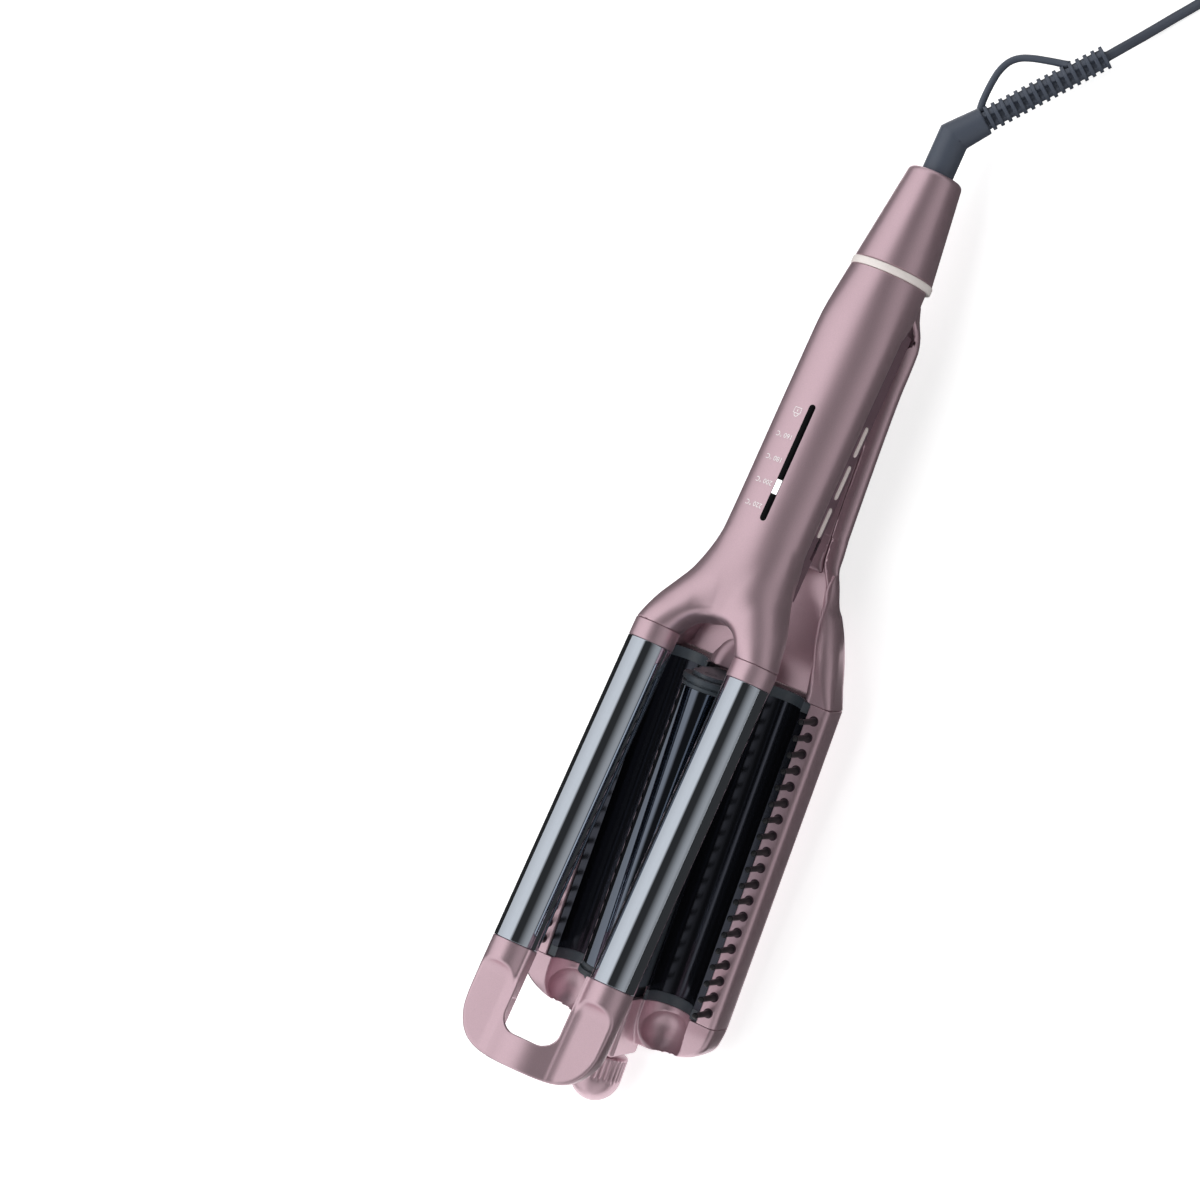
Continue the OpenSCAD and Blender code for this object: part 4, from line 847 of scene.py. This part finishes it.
def arm_room(x, y, z):
    """Space that the fork and the band take when the waver is closed."""
    band = np.maximum(np.maximum(np.abs(y) - BAND_HALF - 0.6, BAND_LOW - 0.6 - z), slab(x, -58, BAND_FRONT + 1))
    return join(upper_form(x, y, z) - 0.8, band, 8)


WALL = [(-150, 2.2), (-141, 2.2), (-134, 7.5), (-42, 7.5), (-30, 11), (-22, 12), (-12, 13), (0, 14)]


def lower_shell_field(x, y, z):
    """Lower arm's shell: walls, floor and rear notch, clear of the closed upper arm."""
    form = meet(lower_form(x, y, z), x + 0.05, 0.3)
    inside = np.abs(y) - curve(LOWER_HALF, x) + curve(WALL, x)
    inside = np.maximum(np.maximum(inside, lower_sides(x, y, z) + LOWER_FLOOR), LOWER_BACK + 3 - x)
    form = cut(form, inside, 0.25)
    notch = np.maximum(np.maximum(np.abs(y) - 9, slab(x, -157, -151)), -29 - z)
    return cut(np.maximum(form, -notch), arm_room(x, y, z), 2)


CENTRE_ROOM_HALF, CENTRE_ROOM_LOW, CENTRE_ROOM_END = 20.4, -17.6, -28.6
HUMP_LEN, HUMP_TOP, HUMP_LOW = 14.5, 4, -8
ROD_ROOM_BACK = -12


def inner_cover_field(x, y, z):
    """Cover inside the shell, with hollows for the legs and a hump behind the centre barrel."""
    wall = curve(WALL, x)
    sides = np.maximum(lower_sides(x, y, z) + LOWER_FLOOR, np.abs(y) - curve(LOWER_HALF, x) + wall)
    form = meet(sides + COVER_GAP, lower_form(x, y, z) + 0.06, 0.25)
    form = meet(form, COVER_BACK - x, 1)
    form = np.maximum(form, curve(LOWER_TOP, x) - COVER_DEPTH - z)
    centre_room = np.maximum(np.abs(y) - CENTRE_ROOM_HALF, CENTRE_ROOM_LOW - z)
    centre_room = np.maximum(centre_room, x - CENTRE_ROOM_END)
    form = cut(form, join(arm_room(x, y, z), centre_room, 3), 2.4)
    plan = (np.hypot(np.minimum(x - COVER_FRONT, 0) / HUMP_LEN, y / BLOCK_HALF) - 1) * BLOCK_HALF
    arch = np.hypot(np.minimum(x - ARCH_X, 0), y) - ARCH_R + 0.8
    hump = np.maximum(np.maximum(meet(plan, z - HUMP_TOP, 6), arch), HUMP_LOW - z)
    form = join(form, hump, 2)
    rods = np.maximum(np.hypot(np.abs(y) - BARREL_Y, z) - TROUGH_R - 0.6, ROD_ROOM_BACK - x)
    form = cut(form, rods, 1)
    return meet(form, x - COVER_FRONT, 0.3)


CAP_X, CAP_END = HEAT_LEN, HEAT_LEN + 19.7
CAP_TOP = [(CAP_X, 0), (CAP_X + 6, -0.2), (CAP_X + 11, -1.6), (CAP_X + 15.5, -4.6), (CAP_END, -8.2)]
CAP_HALF = [
    (CAP_X, 42.7), (CAP_X + 5, 42.2), (CAP_X + 9.4, 41), (CAP_X + 13.3, 37.3), (CAP_X + 15.8, 33),
    (CAP_X + 17.6, 27.6), (CAP_END, 17),
]
CAP_LOW = [(CAP_X, -20.5), (CAP_X + 6, -20.5), (CAP_X + 10, -20.3), (CAP_X + 14, -19.3), (CAP_END, -16.6)]
BOWL_AHEAD, BOWL_Z = 10.8, -6.5
BLOCK_LOW = -14.5
ROOM_HALF, ROOM_LOW, ROOM_TOP, ROOM_LEN = 8.2, -18.3, 7.9, 17.7


def tip_cap_field(x, y, z):
    """Rounded end of the base, with two bowls ahead of the troughs and the hollow middle block."""
    s = np.abs(y)
    low = curve(CAP_LOW, x)
    form = tray(y, z, curve(CAP_HALF, x), low, 9, curve([(CAP_X, 9), (CAP_X + 10, 9), (CAP_END, 3)], x))
    form = meet(form, z - curve(CAP_TOP, x), 2.4)
    form = meet(form, x - CAP_END, 1.0)
    arch = np.hypot(s - BARREL_Y, z) - TROUGH_R - 0.3
    form = cut(form, arch, 0.35)
    bowl = np.hypot(np.hypot(x - CAP_X - BOWL_AHEAD, s - BARREL_Y), 1.2 * np.minimum(z - BOWL_Z, 0))
    form = cut(form, bowl - TROUGH_R + 0.3, 0.35)
    block = meet(meet(s - BLOCK_HALF, z - BLOCK_TOP, 1.4), x - CAP_X - BLOCK_LEN, 1.4)
    block = meet(block, BLOCK_LOW - z, 2)
    form = join(form, block, 0.6)
    room = np.maximum(np.maximum(s - ROOM_HALF, slab(z, ROOM_LOW, ROOM_TOP)), x - CAP_X - ROOM_LEN)
    form = np.maximum(form, -room)
    return meet(form, CAP_X + 0.05 - x, 0.3)


def channel_section(n=8):
    """Section of the base: rounded rims and lower corners, with plain inner faces."""
    rim, low = 3.0, 9.0
    arc = [math.pi / 2 * k / n for k in range(n + 1)]
    side = [(RIM_INNER, -17.5), (RIM_INNER, -0.4), (RIM_INNER + 0.4, 0)]
    side += [(BASE_HALF - rim + rim * math.sin(a), -rim + rim * math.cos(a)) for a in arc]
    side += [(BASE_HALF - low + low * math.cos(a), low - BASE_DEPTH - low * math.sin(a)) for a in arc]
    return side + [(-y, z) for y, z in side[::-1]]


def channel_mesh():
    """Base between its seams, with its ends drawn in a little towards the section's middle."""
    section = channel_section()
    mid = np.array([0, -12])
    rings = [(0.35, 0.02), (0.15, 0.1), (0.0, 0.3)]
    rings += [(pull, HEAT_LEN - x) for pull, x in rings[::-1]]
    points = []
    for pull, x in rings:
        for p in section:
            d = np.array(p) - mid
            y, z = np.array(p) - d * pull / np.hypot(*d)
            points.append((x, y, z))
    return points, bands(len(rings), len(section)) + lids(len(rings), len(section))


BALL_R, HOLE_R = 1.25, 2.0


def standing_row(side, profile, sides):
    """The turned profile stood upright at every bristle's place on one rim."""
    points, faces = capped(profile, 0, 0, sides)
    places = [BRISTLE_START + BRISTLE_PITCH * k for k in range(BRISTLE_COUNT)]
    return merged([([(x + p[1], side * COMB_Y + p[2], p[0]) for p in points], faces) for x in places])


def add_bristles(side, name):
    """Tapered bristles with ball tips, each on a dark disc of painted shade that stands for its hole in the
    rim.
    """
    stem = [(-3, 1.4), (0, 1.38), (BRISTLE_H - 3.2, 1.02), (BRISTLE_H - 2.6, 1.08)]
    turns = np.radians((60, 90, 120, 150, 172))
    ball = [(BRISTLE_H - BALL_R - BALL_R * math.cos(a), BALL_R * math.sin(a)) for a in turns]
    row, comb = standing_row(side, stem + ball, 20), f"comb_{name}"
    add_mesh(f"bristle_row_{name}", row, LOWER, BRISTLE, "lower_arm", (comb,), sharp=60)
    # Dark discs at the roots, painted shade for the holes; the rim itself has none.
    row = standing_row(side, rounded(-0.6, 0.05, HOLE_R, 0.05), 28)
    add_mesh(f"hole_shade_discs_{name}", row, LOWER, HOLE_SHADE, "lower_arm", sharp=50)


def knob_mesh():
    """Knob with rounded flutes round its skirt and a smooth dome."""
    flutes, per_flute, flute_depth, skirt = 30, 10, 0.75, 9.6
    dome = KNOB_LEN - skirt
    rings = [(0.0, KNOB_R - 0.9, 0), (0.25, KNOB_R - 0.25, 0), (0.8, KNOB_R, 0.3), (1.3, KNOB_R, 1)]
    rings += [(skirt - 1.2, KNOB_R, 1), (skirt - 0.6, KNOB_R, 0.6), (skirt, KNOB_R, 0.1)]
    rings += [(skirt + dome * math.sin(a), KNOB_R * math.cos(a), 0) for a in np.radians(range(6, 90, 6))]
    sides = flutes * per_flute
    points = []
    for x, r, depth in rings:
        for s in range(sides):
            a = 2 * math.pi * s / sides
            valley = (0.5 + 0.5 * math.cos(flutes * a)) ** 1.6
            flute = r - flute_depth * depth * valley
            points.append((KNOB_X + x, flute * math.cos(a), KNOB_Z + flute * math.sin(a)))
    return points, bands(len(rings), sides) + lids(len(rings), sides)


def add_lower_arm():
    """Shell, cover, base, tip cap, bristles, knob and centre barrel."""
    add_surface(
        "lower_shell_form", lower_shell_field, (-157.5, -44, -38), (1, 44, 1.5), 0.8, LOWER, ROSE,
        "lower_arm", ("lower_shell",),
    )
    # The cover takes the darker rose copy, which is painted shade.
    add_surface(
        "inner_cover_form", inner_cover_field, (-140, -42, -31), (1, 42, 5), 0.8, LOWER, ROSE_COVER_SHADE,
        "lower_arm", ("inner_cover",),
    )
    add_surface(
        "tip_cap_form", tip_cap_field, (CAP_X - 1, -44, -22), (CAP_X + 26, 44, 11), 0.6, LOWER, ROSE,
        "lower_arm", ("tip_cap",),
    )
    base = inside_out(channel_mesh())
    add_mesh("base_channel_form", base, LOWER, ROSE, "lower_arm", ("base_channel",), sharp=38)
    for side, name in ((-1, "left"), (1, "right")):
        add_bristles(side, name)
    add_mesh("adjust_knob_form", knob_mesh(), LOWER, ROSE, "knob", ("adjust_knob",), sharp=60)
    profile = rounded(TUBE_BACK, TUBE_FRONT, CENTRE_R, 0.35, CENTRE_R - TUBE_WALL)
    form = turned(profile, 0, CENTRE_Z, 128)
    # The centre tube takes the darker mirror copy, which is painted shade.
    add_mesh("centre_tube", form, LOWER, CENTRE_SHADED_MIRROR, "centre_barrel", ("centre_barrel",), sharp=35)
    ends = []
    for x0, way in ((TUBE_BACK - 4.5, 1), (TUBE_FRONT + 4.5, -1)):
        for a, b, r in ((0, 2.2, CENTRE_R + 0.6), (2, 3.2, CENTRE_R - 0.6), (3, 4.6, CENTRE_R + 0.1)):
            low, high = sorted((x0 + way * a, x0 + way * b))
            ends.append(capped(rounded(low, high, r, 0.35), 0, CENTRE_Z))
        low, high = sorted((x0 - way * 1.7, x0 + way * 0.5))
        ends.append(capped(rounded(low, high, 2.5, 0.4), 0, CENTRE_Z, 32))
    form = merged(ends)
    add_mesh("centre_cap_pair", form, LOWER, BEZEL, "centre_barrel", ("centre_caps",), sharp=40)


# ---------------- stage and light
FLOOR_HALF, FLOOR_GLOW = 4.0, 0.62
FLAG_Z, FLAG_EDGE = 0.0008, 0.0435


def shown(nodes, links):
    """Output that is 1 for camera, glossy and transmission rays."""
    path = nodes.new("ShaderNodeLightPath")
    total = path.outputs["Is Camera Ray"]
    for name in ("Is Glossy Ray", "Is Transmission Ray"):
        most = nodes.new("ShaderNodeMath")
        most.operation = "MAXIMUM"
        links.new(total, most.inputs[0])
        links.new(path.outputs[name], most.inputs[1])
        total = most.outputs[0]
    return total


def add_sheet(name, low, high, finish):
    """Level rectangle of the stage."""
    (x0, y0), (x1, y1) = low, high
    mesh = bpy.data.meshes.new(name)
    mesh.from_pydata([(x0, y0, 0), (x1, y0, 0), (x1, y1, 0), (x0, y1, 0)], [], [(0, 1, 2, 3)])
    mesh.materials.append(finish)
    return put(name, mesh)


def add_floor():
    """Pale floor that takes shadows and looks almost white to the camera."""
    made = bpy.data.materials.new("pale_floor")
    made.use_nodes = True
    nodes, links = made.node_tree.nodes, made.node_tree.links
    shader = nodes["Principled BSDF"]
    shader.inputs["Base Color"].default_value = (0.8, 0.8, 0.8, 1)
    shader.inputs["Roughness"].default_value = 0.9
    glow = nodes.new("ShaderNodeEmission")
    level = nodes.new("ShaderNodeMath")
    level.operation = "MULTIPLY"
    level.inputs[1].default_value = FLOOR_GLOW
    links.new(shown(nodes, links), level.inputs[0])
    links.new(level.outputs[0], glow.inputs["Strength"])
    both = nodes.new("ShaderNodeAddShader")
    links.new(shader.outputs[0], both.inputs[0])
    links.new(glow.outputs[0], both.inputs[1])
    links.new(both.outputs[0], nodes["Material Output"].inputs["Surface"])
    floor = add_sheet("floor", (-FLOOR_HALF, -FLOOR_HALF), (FLOOR_HALF, FLOOR_HALF), made)


# Brightness of the surroundings at angles round the waver's length, in degrees from straight up.
SKY = [
    (-180, 0.03), (-98, 0.03), (-90, 0.8), (-60, 0.93), (-40, 1.0), (-15, 1.0), (-3, 0.04), (27, 0.04),
    (45, 0.26), (60, 0.44), (75, 0.52), (88, 0.4), (96, 0.03), (180, 0.03),
]


def add_world():
    """Surroundings that reflections see, paler ahead of the tip; the camera sees plain white."""
    world = bpy.data.worlds.new("studio")
    bpy.context.scene.world = world
    world.use_nodes = True
    nodes, links = world.node_tree.nodes, world.node_tree.links
    place = nodes.new("ShaderNodeTexCoord")
    parts = nodes.new("ShaderNodeSeparateXYZ")
    links.new(place.outputs["Generated"], parts.inputs[0])
    angle = nodes.new("ShaderNodeMath")
    angle.operation = "ARCTAN2"
    links.new(parts.outputs["Y"], angle.inputs[0])
    links.new(parts.outputs["Z"], angle.inputs[1])
    share = nodes.new("ShaderNodeMapRange")
    share.inputs["From Min"].default_value = -math.pi
    share.inputs["From Max"].default_value = math.pi
    links.new(angle.outputs[0], share.inputs["Value"])
    ramp = nodes.new("ShaderNodeValToRGB")
    links.new(share.outputs["Result"], ramp.inputs["Fac"])
    for k, (degrees, value) in enumerate(SKY):
        while len(ramp.color_ramp.elements) <= k:
            ramp.color_ramp.elements.new(1.0)
        ramp.color_ramp.elements[k].position = (degrees + 180) / 360
        ramp.color_ramp.elements[k].color = (value, value, value, 1)
    ahead = nodes.new("ShaderNodeMapRange")
    ahead.interpolation_type = "SMOOTHSTEP"
    for name, value in (("From Min", 0.35), ("From Max", 0.7), ("To Max", 0.45)):
        ahead.inputs[name].default_value = value
    links.new(parts.outputs["X"], ahead.inputs["Value"])
    path = nodes.new("ShaderNodeLightPath")
    colour = ramp.outputs["Color"]
    for factor in (ahead.outputs["Result"], path.outputs["Is Camera Ray"]):
        both = nodes.new("ShaderNodeMix")
        both.data_type = "RGBA"
        both.inputs["B"].default_value = (1, 1, 1, 1)
        links.new(factor, both.inputs["Factor"])
        links.new(colour, both.inputs["A"])
        colour = both.outputs["Result"]
    links.new(colour, nodes["Background"].inputs["Color"])


def add_flag(name, low, high, level):
    """A dark cloth on the floor that only reflections see."""
    made = bpy.data.materials.new(name)
    made.use_nodes = True
    nodes, links = made.node_tree.nodes, made.node_tree.links
    nodes.remove(nodes["Principled BSDF"])
    glow = nodes.new("ShaderNodeEmission")
    glow.inputs["Color"].default_value = (level, level, level, 1)
    links.new(glow.outputs[0], nodes["Material Output"].inputs["Surface"])
    flag = add_sheet(name, low, high, made)
    flag.location.z = FLAG_Z
    flag.visible_camera = False
    flag.visible_diffuse = False
    flag.visible_shadow = False
    flag.visible_transmission = False


def add_lamp(name, at, size, watts, aim=(0.03, 0, 0.05)):
    """Soft box aimed at the waver, without a reflection of its own."""
    data = bpy.data.lights.new(name, "AREA")
    data.energy = watts
    data.shape = "RECTANGLE"
    data.size, data.size_y = size
    lamp = put(name, data)
    look = (Vector(aim) - Vector(at)).to_track_quat("-Z", "Y")
    lamp.matrix_world = Matrix.Translation(at) @ look.to_matrix().to_4x4()
    lamp.visible_glossy = False


def add_stage():
    """Floor, surroundings, dark cloths and both soft boxes."""
    add_floor()
    add_world()
    add_flag("flag_left", (-0.8, -2.2), (0.8, -FLAG_EDGE), 0.03)
    add_flag("flag_right", (-0.8, FLAG_EDGE), (0.8, 2.2), 0.05)
    add_flag("flag_grip", (-0.8, 0.0), (0.0, FLAG_EDGE), 0.05)
    add_lamp("key_box", (0.1, -0.6, 1.5), (1.6, 1.0), 10)
    add_lamp("fill_box", (-0.1, 1.0, 1.7), (1.2, 1.0), 6)


FINISHES = {
    "rose": ROSE, "trim": TRIM, "button": BUTTON, "lock": LOCK, "window": WINDOW, "led": LED, "barrel": BARREL,
    "trough": TROUGH, "bezel": BEZEL, "bristle": BRISTLE, "inner": CARRIAGE, "board": BOARD, "heater": HEATER,
    "steel": STEEL, "cord_grey": SLATE, "cord_rubber": RUBBER, "plug_pin": PIN,
}
# The inner frame takes the darker rose copy, which is painted shade.
OWN_FINISHES = {"inner_frame": ROSE_FRAME_SHADE, "lift_carriage": CARRIAGE}


def finish_nodes():
    """Every CAD node that stays takes the finish of its material slot, or its own."""
    slots = {part["node"]: part["material_slot"] for part in frame["record"]["subparts"]}
    for name, node in frame["nodes"].items():
        node.data.materials.clear()
        node.data.materials.append(OWN_FINISHES.get(name, FINISHES[slots[name]]))


add_upper_arm()
add_buttons()
add_print()
add_lower_arm()
finish_nodes()
add_stage()
bpy.context.scene.view_settings.view_transform = "Standard"
